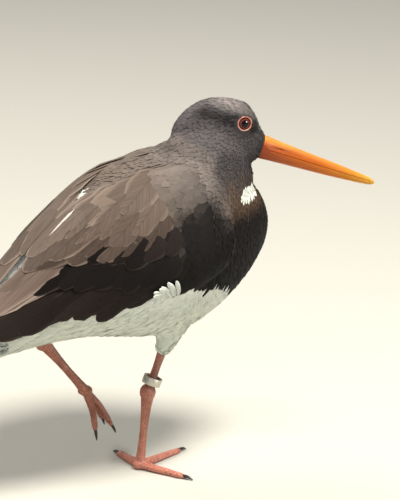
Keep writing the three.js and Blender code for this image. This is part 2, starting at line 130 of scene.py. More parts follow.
def add(material, kind, settings=(), stops=(), **inputs):
    """A new node: settings are its properties, stops the (place, hex) pairs of a colour ramp."""
    node = material.node_tree.nodes.new("ShaderNode" + kind)
    for key, value in dict(settings).items():
        setattr(node, key, value)
    if stops:
        while len(node.color_ramp.elements) < len(stops):
            node.color_ramp.elements.new(0.5)
        for element, (place, hexa) in zip(node.color_ramp.elements, stops):
            element.position = place
            element.color = light(hexa)
    set_inputs(node, **inputs)
    return node


def new_material(name):
    """A material with its surface shader; the shader is returned too."""
    material = bpy.data.materials.new(name)
    material.use_nodes = True
    return material, material.node_tree.nodes["Principled BSDF"]


print("mid grey is", round(light("#808080")[0], 3))

# %% [markdown]
# ## From arrays to a mesh
#
# Thousands of small feathers are best made as one joined mesh from arrays of points, because an object
# for each would be slow. The other pieces start from primitives, from tubes through measured rings, or
# from copied solids, and the same few helpers place, join and finish them.
# %% mesh helpers


def select_only(thing):
    """Deselects everything else, because an operator acts on all that is selected."""
    for other in bpy.context.selected_objects:
        other.select_set(False)
    thing.select_set(True)
    bpy.context.view_layer.objects.active = thing


def mesh_object(name, points, faces, material):
    """A smooth mesh from body-frame points in millimetres."""
    mesh = bpy.data.meshes.new(name)
    mesh.from_pydata(((np.asarray(points) + BODY) * MM).tolist(), [], [list(map(int, f)) for f in faces])
    mesh.materials.append(material)
    mesh.validate()
    mesh.shade_smooth()
    thing = bpy.data.objects.new(name, mesh)
    bpy.context.scene.collection.objects.link(thing)
    return thing


def ball(radius, segments, rings):
    """A sphere primitive at the origin, its radius in metres."""
    bpy.ops.mesh.primitive_uv_sphere_add(segments=segments, ring_count=rings, radius=radius)
    return bpy.context.object


def moved_to(place):
    """The matrix that moves a mesh to a body-frame place in millimetres."""
    return Matrix.Translation((place + BODY) * MM)


def stretched(radii):
    """The matrix that makes a ball of radius 1 an oval with three radii in millimetres."""
    return Matrix.Diagonal([r * MM for r in radii] + [1])


def apply(thing, kind, **settings):
    """Adds a modifier and applies it."""
    modifier = thing.modifiers.new(kind.title(), kind)
    for key, value in settings.items():
        setattr(modifier, key, value)
    select_only(thing)
    bpy.ops.object.modifier_apply(modifier=modifier.name)


def of_points(mesh, what):
    """A triple for each point of a mesh: "co" is its place in metres, "normal" the way out."""
    flat = np.empty(len(mesh.vertices) * 3)
    mesh.vertices.foreach_get(what, flat)
    return flat.reshape(-1, 3)


def grid_tube(rings):
    """Points and faces of a tube through rings (count, sides, 3), closed at both ends by a fan."""
    count, sides = rings.shape[:2]
    points = np.vstack([rings.reshape(-1, 3), rings[0].mean(0)[None], rings[-1].mean(0)[None]])
    faces = []
    for i in range(count - 1):
        for j in range(sides):
            k = (j + 1) % sides
            faces.append((i * sides + j, i * sides + k, (i + 1) * sides + k, (i + 1) * sides + j))
    for j in range(sides):
        k = (j + 1) % sides
        faces.append((count * sides, k, j))
        faces.append((count * sides + 1, (count - 1) * sides + j, (count - 1) * sides + k))
    return points, faces


def face_outwards(thing):
    """Merges doubles, then turns all faces outwards."""
    select_only(thing)
    bpy.ops.object.mode_set(mode="EDIT")
    bpy.ops.mesh.select_all(action="SELECT")
    bpy.ops.mesh.remove_doubles(threshold=1e-6)
    bpy.ops.mesh.normals_make_consistent(inside=False)
    bpy.ops.object.mode_set(mode="OBJECT")


def join(things, name):
    """Joins things into the first one."""
    select_only(things[0])
    for thing in things:
        thing.select_set(True)
    bpy.ops.object.join()
    things[0].name = things[0].data.name = name
    return things[0]


print("a tube of 3 rings of 4 points has", len(grid_tube(np.zeros((3, 4, 3)))[1]), "faces")

# %% [markdown]
# ## The head's own frame
#
# The head is turned towards the viewer and tipped down, so its sizes are given along the bill and turned
# from there.
# %% head frame
HEAD_ROOT = np.array((78.7, -12.4, 203.4))  # the root of the bill
HEAD_YAW = math.radians(-20)
HEAD_PITCH = math.radians(20)
HEAD_TURN = np.array(Matrix.Rotation(HEAD_YAW, 3, "Z") @ Matrix.Rotation(HEAD_PITCH, 3, "Y"))


def in_head(points):
    """Places given in the head's frame, in the body's frame."""
    return np.asarray(points, float) @ HEAD_TURN.T + HEAD_ROOT


def to_head(points):
    """Places given in the body's frame, in the head's frame."""
    return (np.asarray(points, float) - HEAD_ROOT) @ HEAD_TURN


print("back of the head:", in_head((-56, 0, 0)).round(1))

# %% [markdown]
# ## The wing's sheet
#
# A folded wing lies on the body like a bent sheet. Its lower and upper edges are given along the body,
# with how far it bows out between them. Every wing feather is then laid at a place on this sheet.
# %% wing sheet
sheet_table = stations(
    [  # place along the body, lower edge out and up, upper edge out and up, bow
        (46, 41, 142, 24, 186, 13),
        (20, 47.5, 131, 13, 203, 17),
        (-20, 47.5, 129.5, 9, 196, 18),
        (-60, 42, 129, 6, 167, 11),
        (-100, 33, 119, 5, 131, 4),
        (-140, 22, 109, 6, 118, 3),
        (-192, 9, 97, 8, 101, 0.5),
    ]
)


def on_sheet(side, x, rise, lift):
    """Points on the wing sheet: rise is the way up from its lower edge, lift the way out of it."""
    low_out, low_up, high_out, high_up, bow = np.moveaxis(sheet_table(x), -1, 0)
    chord = np.hypot(high_out - low_out, high_up - low_up)
    share = rise / chord
    out_y, out_z = (high_up - low_up) / chord, (low_out - high_out) / chord
    away = 4 * share * (1 - share) * bow + lift
    y = low_out + (high_out - low_out) * share + out_y * away
    z = low_up + (high_up - low_up) * share + out_z * away
    return np.stack([x + 0 * y, side * y, z], -1)


def off_sheet(points):
    """The other way round: how far up the wing sheet points are, as a share, and how far out of it."""
    low_out, low_up, high_out, high_up, bow = np.moveaxis(sheet_table(points[:, 0]), -1, 0)
    a, b = high_out - low_out, high_up - low_up
    chord = np.hypot(a, b)
    y, z = np.abs(points[:, 1]) - low_out, points[:, 2] - low_up
    share = (y * a + z * b) / chord**2
    return share, (y * b - z * a) / chord - 4 * share * (1 - share) * bow


def chord_at(x):
    """The straight way from the sheet's lower edge to its upper edge."""
    low_out, low_up, high_out, high_up, _ = np.moveaxis(sheet_table(x), -1, 0)
    return np.hypot(high_out - low_out, high_up - low_up)


print("wing depth at the shoulder:", round(float(chord_at(20)), 1), "mm")

# %% [markdown]
# ## Places of the eyes
#
# The eyeballs sit deep in the head, a little forward and up. The skin, the coat and the eyes all need
# their places.
# %% places of the eyes
EYE_BACK, EYE_OUT, EYE_UP = 19.7, 8.3, 13.4  # an eyeball's middle, from the root of the bill
EYE_RADIUS = 6.2
EYE_FORWARD = math.radians(12)
EYES = {}
for name, side in (("left", 1), ("right", -1)):
    centre = in_head((-EYE_BACK, side * EYE_OUT, EYE_UP))
    look = unit(np.array((math.sin(EYE_FORWARD), side * math.cos(EYE_FORWARD), 0.1))) @ HEAD_TURN.T
    EYES[name] = (side, centre, look)


def eye_angle(points, centre, look):
    """Angles in degrees from an eye's line of sight, and distances from its middle."""
    away = np.linalg.norm(points - centre, axis=-1)
    return np.degrees(np.arccos(np.clip(unit(points - centre) @ look, -1, 1))), away


print("right eye at", EYES["right"][1].round(1))

# %% [markdown]
# ## The lie of the coat
#
# Feathers point from the bill back over the head, down the neck and back along the body, and away from
# the eyes. A few places with a direction and a reach give the lie everywhere: near ones count most, and
# the result is laid flat on the surface.
# %% lie of the coat
BACK = in_head((-1, 0, 0)) - in_head((0, 0, 0))
LIE = [  # place, direction, reach
    (in_head((-5, 0, 0)), BACK, 20),
    (in_head((-35, 0, 4)), BACK + (0, 0, -0.45), 20),
    (np.array((52, -5, 207)), np.array((-0.6, 0.1, -0.75)), 18),
    (np.array((44, -1, 186)), np.array((-0.5, 0, -0.85)), 24),
    (np.array((38, 0, 165)), np.array((-0.62, 0, -0.78)), 30),
    (np.array((15, 0, 150)), np.array((-0.93, 0, -0.35)), 36),
    (np.array((-40, 0, 140)), np.array((-0.95, 0, -0.3)), 40),
    (np.array((-100, 0, 105)), np.array((-0.93, 0, -0.33)), 40),
    (np.array((30, 46, 150)), np.array((-0.25, 0, -0.95)), 26),
    (np.array((30, -46, 150)), np.array((-0.25, 0, -0.95)), 26),
    (np.array((12, 0, 205)), np.array((-0.95, 0, -0.2)), 30),
]
EYE_PARTING, EYE_REACH = 2.2, 7  # how strongly, and over what distance, feathers turn away from an eye


def lie(points, normals):
    """Directions along the skin in which feathers point at some points."""
    reach = np.stack([((points - place) ** 2).sum(-1) / r**2 for place, _, r in LIE], -1)
    weight = np.exp(reach.min(-1, keepdims=True) - reach)
    way = sum(weight[..., i, None] * unit(np.asarray(way)) for i, (_, way, _) in enumerate(LIE))
    for _, centre, look in EYES.values():
        away = points - (centre + look * EYE_RADIUS)
        near = np.exp(-((np.linalg.norm(away, axis=-1, keepdims=True) / EYE_REACH) ** 2))
        way = way + EYE_PARTING * near * unit(away)
    way = way - normals * (way * normals).sum(-1, keepdims=True)
    return unit(way)


def coat_age(points):
    """How far back from the bill's root a point is. Feathers grow longer with it."""
    return np.linalg.norm(points - HEAD_ROOT, axis=-1)


print("lie on the crown:", lie(in_head((-25, 0, 22))[None], (in_head((0, 0, 1)) - HEAD_ROOT)[None]).round(2))

# %% [markdown]
# ## Shapes under the skin
#
# One skin stands for the head, neck, torso and thighs. Its shape starts as copies of those solids, each
# merged and turned outwards, and a bent plate under each wing that carries the wing's feathers. Where
# breast and back feathers cover the wing, the plate stands higher, as the plumage does there.
# %% shapes under the skin
SKIN_NODES = ("torso", "neck", "head", "thigh_left", "thigh_right")
CORE_FRONT, CORE_END, CORE_SUNK = 43, -112, 1.2
COVER_RISE = 3.9  # how much higher the skin is where body feathers hide the wing
core_thick = stations([(43, 8), (-40, 8), (-90, 5), (-112, 4)])


def covered(x, share):
    """1 where breast and back feathers hide the front and top of the wing, 0 where its own feathers show."""
    front = soft_step(-9, 7, x + 14 * (share - 0.3))
    top = soft_step(0.62, 0.8, share + 0.0035 * (x + 20)) * soft_step(-75, -45, x)
    return np.maximum(front, top)


def wing_core(side):
    """A bent plate just inside the wing's sheet, thin at its upper and lower edge."""
    rings = []
    up = np.linspace(-1, 1, 13)
    share = 0.5 + 0.48 * up
    for x in np.linspace(CORE_FRONT, CORE_END, 40):
        along, rise = np.full(len(up), x), share * chord_at(x)
        thick = core_thick(x)[0] * (1 - 0.85 * np.abs(up) ** 4)
        raised = COVER_RISE * covered(x, share) * (1 - np.abs(up) ** 6)
        outer = on_sheet(side, along, rise, raised - CORE_SUNK)
        inner = on_sheet(side, along, rise, -CORE_SUNK - thick)
        rings.append(np.vstack([outer, inner[::-1]]))
    return grid_tube(np.array(rings))


skin_material, skin_shader = new_material("bird skin under feathers")
pieces = []
for name in SKIN_NODES:
    node = frame["nodes"][name]
    piece = bpy.data.objects.new("flesh", node.data.copy())
    piece.data.transform(node.matrix_world)
    bpy.context.scene.collection.objects.link(piece)
    pieces.append(piece)
for side in (1, -1):
    pieces.append(mesh_object("core", *wing_core(side), skin_material))
for piece in pieces:
    face_outwards(piece)
print("solids and plates under the skin:", len(pieces))

# %% [markdown]
# Balls close the eye sockets, so that no hole is left behind the eyes. Ovals fill the hollows that solids
# leave at the shoulder and beside the neck, where a real bird's loose plumage bridges them.
# %% sockets and fillings
SOCKET = 7.6
FILLS = [((20, 20, 176), (36, 24, 26)), ((28, 11, 195), (18, 14, 12))]  # place and radii: shoulder, neck

for _, centre, _ in EYES.values():
    pieces.append(ball(SOCKET * MM, 32, 20))
    pieces[-1].data.transform(moved_to(centre))
for side in (1, -1):
    for place, radii in FILLS:
        pieces.append(ball(1, 32, 20))
        pieces[-1].data.transform(moved_to(np.array(place) * (1, side, 1)) @ stretched(radii))
print("with balls and ovals:", len(pieces))

# %% [markdown]
# ## Melting the shapes into one skin
#
# Sculptors melt clay lumps together and smooth the seams. A voxel remesh does the same: it makes one
# closed surface round all the shapes, and some smoothing takes the facets off. Closed rooms inside leave
# loose surfaces, which go.
# %% one skin
VOXEL = 1.6


def drop_loose(thing):
    """Deletes all that isn't connected to the foremost point, and returns how many points went."""
    before = len(thing.data.vertices)
    select_only(thing)
    bpy.ops.object.mode_set(mode="EDIT")
    bpy.ops.mesh.select_all(action="DESELECT")
    bpy.ops.object.mode_set(mode="OBJECT")
    foremost = of_points(thing.data, "co")[:, 0].argmax()
    thing.data.vertices[foremost].select = True
    bpy.ops.object.mode_set(mode="EDIT")
    bpy.ops.mesh.select_linked()
    bpy.ops.mesh.select_all(action="INVERT")
    bpy.ops.mesh.delete(type="VERT")
    bpy.ops.object.mode_set(mode="OBJECT")
    return before - len(thing.data.vertices)


skin = join(pieces, "skin")
apply(skin, "REMESH", mode="VOXEL", voxel_size=VOXEL * MM)
apply(skin, "SMOOTH", factor=0.5, iterations=10)
print("loose points removed:", drop_loose(skin))

# %% [markdown]
# ## Room for the coat
#
# The skin moves in by the depth of the coat, so that the feathers end where the solids do. Smoothing has
# shrunk the round head, so the head moves out again. Round each eye the skin is pulled down behind the
# eyeball's front and pushed out to a rim, on which the bare ring will lie.
# %% room for the coat
HEAD_DEPTH, BODY_DEPTH = 0.55, 1.1
HEAD_FILL = 1.2  # what smoothing took off the head
SOCKET_FLOOR = (0, 33, 42, 70, 90), (0, 0, 6.35, 6.35, 0)  # angles from the line of sight, least distances
SOCKET_ROOF = (0, 30, 41, 50), (5.2, 5.2, 6.5, 30)  # angles, greatest distances
SOCKET_REACH = 10


def coat_depth(points):
    """How deep the coat is: thin on the head, deeper from the neck on."""
    return HEAD_DEPTH + (BODY_DEPTH - HEAD_DEPTH) * soft_step(50, 100, coat_age(points))


points = of_points(skin.data, "co") / MM - BODY
age = coat_age(points)
depth = coat_depth(points) - HEAD_FILL * soft_step(8, 20, age) * soft_step(75, 45, age)
points = points - of_points(skin.data, "normal") * depth[:, None]
for _, centre, look in EYES.values():
    angle, away = eye_angle(points, centre, look)
    wanted = np.clip(away, np.interp(angle, *SOCKET_FLOOR), np.interp(angle, *SOCKET_ROOF))
    near = (away < SOCKET_REACH)[:, None]
    points = np.where(near, centre + unit(points - centre) * wanted[:, None], points)
skin.data.vertices.foreach_set("co", ((points + BODY) * MM).ravel())
skin.data.update()
skin.data.materials.clear()
skin.data.materials.append(skin_material)
skin.data.shade_smooth()
ground = BVHTree.FromPolygons([tuple(p) for p in points], [tuple(f.vertices) for f in skin.data.polygons])
print("skin points:", len(points))

# %% [markdown]
# ## The markings
#
# One function gives the plumage colour at any place, for the skin and for every feather rooted there: a
# sooty head with a dark band through the eye and a crown painted paler, as a painted sheen of light on top
# of the head, a grey-brown mantle, a dark brown breast with a painted highlight on its upper front, which
# ends in a jagged line, and white below, on the rump and at the bend of the neck, with painted shade low
# on the belly. It works like a painter: a ground colour first, then one layer after another, each with a
# soft edge. Waves of a few lengths stand in for chance, so that neighbours still agree.
# %% markings
SOOT, CROWN_SHEEN, EYE_BAND = "#565152", "#837b79", "#110e0f"
NAPE, MANTLE, BREAST, BREAST_TOP_HIGHLIGHT = "#6f6661", "#6a5f57", "#120e0c", "#5a4739"
WHITE, SHADED_WHITE, BELLY_SHADE = "#f0f2ec", "#dfe3d8", "#cdd1c3"
PATCH_MIDDLE = np.array((64, -20, 176.5))  # of the white patch at the bend of the neck
PATCH_RADII = (11, 15, 6)


def waves(points, length, turn=0.0):
    """A smooth pseudo-random value from -1 to 1 that changes over about a length."""
    k = 2 * math.pi / length
    x, y, z = np.moveaxis(points, -1, 0)
    a = np.sin(k * (x + 0.7 * y) + turn) + np.sin(k * (1.3 * z - 0.6 * x + 0.4 * y) + 1.7 + turn)
    return (a + np.sin(k * (0.9 * y + 0.8 * z + 1.9 * x) + 2.9 * turn)) / 3


def dark_hem(points):
    """The height of the line between the dark breast and the white belly."""
    x = points[..., 0]
    line = np.interp(x, (-20, 10, 40, 50, 57, 70), (131, 128, 122, 112, 100, 92))
    return line + 3 * waves(points, 23) + 2 * waves(points, 9, 1)


def eye_band(hx, hy, hz):
    """How dark the band through the eye is at places in the head's frame. It sinks towards the nape."""
    middle = 13.5 - 0.004 * (hx + 20) ** 2 * (hx < -20)
    half = 4.2 + 0.03 * np.abs(hx + 20)
    band = np.exp(-(((hz - middle) / half) ** 2)) * soft_step(-62, -44, hx)
    round_eye = np.exp(-((hx + EYE_BACK) ** 2 + (hz - EYE_UP) ** 2) / 90)
    return np.clip(0.85 * band * soft_step(4, 9, np.abs(hy)) + 0.8 * round_eye, 0, 0.92)


def plumage(points):
    """Linear colours at body-frame points, with full alpha."""
    points = np.asarray(points, float)
    x, y, z = np.moveaxis(points, -1, 0)
    hx, hy, hz = np.moveaxis(to_head(points), -1, 0)
    age = coat_age(points)
    colour = np.ones(points.shape[:-1] + (4,)) * np.array(light(SOOT))
    # painted sheen: the top of the head is painted paler, where the light from above falls on it
    colour = mix(colour, CROWN_SHEEN, soft_step(9, 19, hz + 0.12 * hx) * soft_step(2, -12, hx))
    colour = mix(colour, EYE_BAND, eye_band(hx, hy, hz))
    colour = mix(colour, EYE_BAND, 0.7 * np.exp(-((hx + 2) ** 2) / 16))  # dark at the root of the bill
    colour = mix(colour, NAPE, soft_step(42, 60, age) * soft_step(219, 207, z + 2 * waves(points, 17)))
    colour = mix(colour, NAPE, soft_step(-26, -36, hx) * soft_step(-5, -13, hz))
    colour = mix(colour, MANTLE, soft_step(60, 95, age) * soft_step(48, 25, x))
    chin = soft_step(-2, -10, hz) * soft_step(-34, -26, hx) * soft_step(60, 45, age)
    colour = mix(colour, EYE_BAND, 0.45 * chin)
    # painted highlight: the upper front of the breast is a paler brown, where the light falls on it
    brown = mix(mix(colour, BREAST_TOP_HIGHLIGHT, soft_step(28, 46, x)), BREAST, soft_step(177, 160, z))
    brown = mix(brown, BREAST, soft_step(46, 30, x))
    colour = mix(colour, brown, soft_step(-8, 6, x) * soft_step(197, 170, z + 4 * waves(points, 27)))
    colour = mix(colour, BREAST, soft_step(150, 135, z))
    colour = mix(colour, EYE_BAND, 0.12 * np.clip(waves(points, 15), 0, 1))
    white = mix(np.array(light(WHITE)), SHADED_WHITE, 0.5 + 0.5 * waves(points, 31))
    # painted shade: the white is greyer low on the belly and further back, under the body
    white = mix(white, BELLY_SHADE, soft_step(134, 112, z) * soft_step(60, 20, x))
    below = z < dark_hem(points)
    rump = (x < -38 + 3 * waves(points, 12)) & (np.abs(y) < 30) & (z < 205)
    patch = (((points - PATCH_MIDDLE) / PATCH_RADII) ** 2).sum(-1) < 1
    is_white = below | rump | (patch & (z > 173) & (y < -4))
    return np.where(is_white[..., None], white, colour)


print("breast:", plumage(np.array([[80, 0, 150]])).round(3)[0])

# %% [markdown]
# ## The skin's finish
#
# Thin bird skin under down is dull and hardly shows between the feathers. It takes the markings as a
# colour attribute, a little darker than the feathers, so that every gap reads as shade, and its shader is
# plain and rough.
# %% skin colour
BRIGHT = 0.4  # linear green above which plumage counts as white


def paint(mesh, colours):
    """Stores a colour for each point of a mesh."""
    layer = mesh.color_attributes.new(name="plumage", type="FLOAT_COLOR", domain="POINT")
    layer.data.foreach_set("color", np.asarray(colours, np.float32).ravel())


skin_colours = plumage(points)
skin_colours[:, :3] *= np.where(skin_colours[:, 1:2] > BRIGHT, 0.9, 0.8)
paint(skin.data, skin_colours)
pattern = add(skin_material, "Attribute", {"attribute_name": "plumage"})
set_inputs(skin_shader, Base_Color=pattern.outputs["Color"], Roughness=0.85)
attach(skin, "root")
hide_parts(*SKIN_NODES)
print("white share of the skin:", round(float((skin_colours[:, 1] > BRIGHT).mean()), 2))

# %% [markdown]
# ## Feather meshes
#
# A feather is a closed lens of cross-sections between a root point and a tip point. The same few faces
# serve every feather of a piece, so a whole coat is made by moving one set of faces over arrays of
# points. The thin edges are marked sharp, so that the shading doesn't bend round them. Two maps are made
# too: "vane" runs across and along each feather, and "OFBake" gives each feather a tiny patch at its
# root's place.
# %% feather meshes
PATCH = 0.003  # the size of a feather's patch on the unwrap
SHARP = math.radians(70)


def skin_unwrap(points):
    """Places on an unwrap of the skin: round the body, and along it from bill to tail."""
    place = unit(points - np.array((20, 0, 150)))
    middle = np.where(points[..., 2] > 185, 190, 135)  # of the neck, or of the body
    turn = 0.5 + np.arctan2(points[..., 1], points[..., 2] - middle) / (2 * math.pi)
    back = np.clip(coat_age(points) / 260, 0, 1)
    return np.stack([0.02 + 0.96 * turn, 0.02 + 0.96 * back + 0.004 * place[..., 0]], -1)


def lens_faces(rows, section):
    """Faces of one feather: its walls, and fans to the root point and the tip point, which come last."""
    faces = []
    for j in range(section):
        k = (j + 1) % section
        for i in range(rows - 1):
            faces.append((i * section + j, i * section + k, (i + 1) * section + k, (i + 1) * section + j))
        faces.append((rows * section, k, j))
        faces.append((rows * section + 1, (rows - 1) * section + j, (rows - 1) * section + k))
    return faces


def vane_map(rows, section):
    """Across and along one feather, for each of its points."""
    edge_to_edge = np.linspace(0, 1, section // 2 + 1)
    across = np.concatenate([edge_to_edge, edge_to_edge[1:-1][::-1]])
    vane = np.empty((rows * section + 2, 2))
    vane[:-2, 0] = np.tile(across, rows)
    vane[:-2, 1] = np.repeat(np.linspace(0, 1, rows + 2)[1:-1], section)
    vane[-2:] = (0.5, 0), (0.5, 1)
    return vane


def feather_mesh(name, rings, ends, colours, patch, material, flip=False):
    """One mesh of feathers: rings (feathers, rows, section, 3), ends (feathers, 2, 3), colours by row."""
    count, rows, section, _ = rings.shape
    each = rows * section + 2
    faces = [face[::-1] if flip else face for face in lens_faces(rows, section)]
    everywhere = []
    for size in (3, 4):
        some = np.array([face for face in faces if len(face) == size])
        everywhere += (some[None] + np.arange(count)[:, None, None] * each).reshape(-1, size).tolist()
    points = np.concatenate([rings.reshape(count, -1, 3), ends], 1).reshape(-1, 3)
    thing = mesh_object(name, points, everywhere, material)
    thing.data.set_sharp_from_angle(angle=SHARP)
    by_row = np.repeat(colours[:, 1:-1], section, axis=1)
    paint(thing.data, np.concatenate([by_row, colours[:, :1], colours[:, -1:]], 1).reshape(-1, 4))
    corner = np.empty(len(thing.data.loops), int)
    thing.data.loops.foreach_get("vertex_index", corner)
    vane = vane_map(rows, section)
    spread = patch[:, None] + (vane[None] - 0.5) * PATCH
    for layer_name, places in (("OFBake", spread.reshape(-1, 2)), ("vane", np.tile(vane, (count, 1)))):
        layer = thing.data.uv_layers.new(name=layer_name)
        layer.data.foreach_set("uv", places[corner].astype(np.float32).ravel())
    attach(thing, "root")
    return thing


print("faces of one small feather:", len(lens_faces(4, 4)))

# %% [markdown]
# ## The feather material
#
# Feather keratin: a soft, dull surface with fine barbs that slant out from a shaft. The barbs are really
# about 0.3 mm apart, too fine for the picture, so they are drawn coarser, as a gentle bump and as light
# and dark streaks. Worn feathers have paler edges, whose strength each feather carries in its colour's
# alpha.
# %% feather material
WORN_EDGE, SHAFT = "#a08f80", "#15100d"


def feather_material(name, barbs, bump, shaft):
    """barbs is their number along a vane, shaft how dark the feather's middle line is."""
    material, shader = new_material(name)
    uv = add(material, "SeparateXYZ", Vector=add(material, "UVMap", {"uv_map": "vane"}).outputs["UV"])
    own = add(material, "Attribute", {"attribute_name": "plumage"})
    out = add(material, "Math", {"operation": "SUBTRACT"}, i0=uv.outputs["X"], i1=0.5)
    out = add(material, "Math", {"operation": "ABSOLUTE"}, i0=out.outputs[0])
    times_plus = {"operation": "MULTIPLY_ADD"}
    slant = add(material, "Math", times_plus, i0=out.outputs[0], i1=-0.5, i2=uv.outputs["Y"])
    place = add(material, "CombineXYZ", X=slant.outputs[0], Y=own.outputs["Fac"])
    flat = {"noise_dimensions": "2D"}
    streak = add(material, "TexNoise", flat, Vector=place.outputs[0], Scale=barbs, Detail=2.0)
    wave = add(material, "Math", {"operation": "MULTIPLY"}, i0=slant.outputs[0], i1=barbs * 6.28)
    wave = add(material, "Math", {"operation": "SINE"}, i0=wave.outputs[0])
    shade = add(material, "MapRange", i0=streak.outputs["Fac"], i1=0.3, i2=0.7, i3=0.87, i4=1.13)
    times = {"data_type": "RGBA", "blend_type": "MULTIPLY"}
    colour = add(material, "Mix", times, i0=1.0, i6=own.outputs["Color"], i7=shade.outputs[0])
    side_edge = add(material, "MapRange", i0=out.outputs[0], i1=0.36, i2=0.49)
    tip_edge = add(material, "MapRange", i0=uv.outputs["Y"], i1=0.86, i2=1.0)
    edge = add(material, "Math", {"operation": "MAXIMUM"}, i0=side_edge.outputs[0], i1=tip_edge.outputs[0])
    edge = add(material, "Math", {"operation": "MULTIPLY"}, i0=edge.outputs[0], i1=own.outputs["Alpha"])
    blend = {"data_type": "RGBA"}
    pale = add(material, "Mix", blend, i0=edge.outputs[0], i6=colour.outputs[2], i7=light(WORN_EDGE))
    middle = add(material, "MapRange", i0=out.outputs[0], i1=0.0, i2=0.035, i3=shaft, i4=0.0)
    final = add(material, "Mix", blend, i0=middle.outputs[0], i6=pale.outputs[2], i7=light(SHAFT))
    relief = add(material, "Bump", Strength=bump, Distance=0.0002, Height=wave.outputs[0])
    set_inputs(shader, Base_Color=final.outputs[2], Normal=relief.outputs[0], Roughness=0.62, IOR=1.54)
    set_inputs(shader, Specular_IOR_Level=0.07, Sheen_Weight=0.02, Sheen_Roughness=0.5)
    return material


body_feather = feather_material("keratin body feather", barbs=5, bump=0.04, shaft=0.0)
wing_feather = feather_material("keratin wing feather", barbs=24, bump=0.15, shaft=0.25)
print("nodes in a feather material:", len(wing_feather.node_tree.nodes))

# %% [markdown]
# ## Scattering roots
#
# Roots are thrown on the skin at random and kept only if no other root is too near, which spreads them
# evenly with no grid to see. Space is divided into cubes, so that each new root is compared with its
# neighbours only.
# %% scatter roots
polygons = np.array([tuple(f.vertices) for f in skin.data.polygons if len(f.vertices) == 4])
corners = points[polygons]
areas = np.linalg.norm(np.cross(corners[:, 2] - corners[:, 0], corners[:, 3] - corners[:, 1]), axis=1) / 2
skin_normals = of_points(skin.data, "normal")
NEIGHBOURS = [(a, b, c) for a in (-1, 0, 1) for b in (-1, 0, 1) for c in (-1, 0, 1)]


def too_near(p, gap, roots):
    """True if one of the roots is nearer to a place than the gap."""
    return any((p[0] - q[0]) ** 2 + (p[1] - q[1]) ** 2 + (p[2] - q[2]) ** 2 < gap * gap for q in roots)


def scatter(rng, spacing_of, tries):
    """Roots and their normals on the skin, at least a spacing apart; none where the spacing is 0."""
    chosen = rng.choice(len(polygons), tries, p=areas / areas.sum())
    a, b = rng.random((2, tries, 1))
    weight = np.stack([(1 - a) * (1 - b), a * (1 - b), a * b, (1 - a) * b], 1)
    place = (corners[chosen] * weight).sum(1)
    normal = unit((skin_normals[polygons[chosen]] * weight).sum(1))
    spacing = spacing_of(place)
    place, normal, spacing = place[spacing > 0], normal[spacing > 0], spacing[spacing > 0]
    cube = spacing.max()
    kept, cubes = [], {}
    for i, (p, gap) in enumerate(zip(place.tolist(), spacing.tolist())):
        x, y, z = (int(v // cube) for v in p)
        if not any(too_near(p, gap, cubes.get((x + a, y + b, z + c), ())) for a, b, c in NEIGHBOURS):
            cubes.setdefault((x, y, z), []).append(p)
            kept.append(i)
    return place[kept], normal[kept]


print("skin area:", round(areas.sum()), "mm2")

# %% [markdown]
# ## Laying feathers
#
# From each root a feather walks along the lie of the coat, dropped back to the skin at each step, and
# rises from under the skin to the depth of the coat at its tip.
# %% lay feathers
ROWS = np.array((0.1, 0.38, 0.68, 0.9, 1.0))
ROW_WIDTH = np.array((0.55, 1.0, 0.9, 0.5, 0.0))
ROOT_SUNK = 0.6  # of the depth of the coat
face_normals = [Vector(unit(skin_normals[list(f.vertices)].mean(0))) for f in skin.data.polygons]


def to_skin(p):
    """Points dropped onto the skin, with smooth normals there."""
    found = [ground.find_nearest(Vector(q)) for q in p]
    return np.array([f[0] for f in found]), np.array([face_normals[f[2]] for f in found])


def lay(roots, normals, length, half, depth, yaw, lift):
    """Rings and ends of feathers on the skin. Sizes are arrays with one value for each feather."""
    way = lie(roots, normals)
    side = np.cross(way, normals)
    way = unit(way * np.cos(yaw)[:, None] + side * np.sin(yaw)[:, None])
    p, n, done = roots, normals, 0.0
    rings = []
    for share, wide in zip(ROWS, ROW_WIDTH):
        p = p + way * (length * (share - done))[:, None]
        done = share
        p, n = to_skin(p)
        way = unit(way - n * (way * n).sum(1, keepdims=True))
        side = np.cross(way, n)
        up = (-0.4 + 1.4 * share**0.75) * depth + lift * share**2
        middle = p + n * up[:, None]
        if wide:
            w = (half * wide)[:, None]
            thick = 0.06 + 0.04 * w
            left = middle - side * w - n * 0.03 * w
            right = middle + side * w - n * 0.03 * w
            rings.append(np.stack([left, middle + n * thick, right, middle - n * 0.4 * thick], 1))
    root = roots - normals * (ROOT_SUNK * depth)[:, None]
    return np.stack(rings, 1), np.stack([root, middle], 1)  # the last middle is the tip


print("90 mm before the middle, the nearest skin is at", to_skin([(90, 0, 150)])[0].round(1)[0])

# %% [markdown]
# ## Where the coat leaves room
#
# Body feathers keep off the wing's own feathers, off the bare rings round the eyes and off the bill. On
# the side of the breast and on the back they are broad, and lie over the front of the wing. Their spacing
# is therefore a rule that is asked at every root.
# %% room for eyes and wings
BROAD_SPACING, BROAD_LENGTH, BROAD_HALF = 2.4, 15, 3.3
LID_EDGE, LID_REACH = 46, 9.5  # degrees from the line of sight, and distance, within which nothing grows


def on_wing(points):
    """True where the wing's own feathers lie."""
    x = points[:, 0]
    share, out = off_sheet(points)
    on = (x < 40) & (x > -126) & (share > 0.02) & (share < 0.97) & (covered(x, share) < 0.6)
    return on & (np.abs(out + CORE_SUNK) < 6)


def broad(points):
    """True where the broad breast-side and back feathers that cover the wing's front grow."""
    x = points[:, 0]
    share, out = off_sheet(points)
    return (x > -70) & (x < 30) & (share > 0.02) & (share < 1.0) & (out > -4)


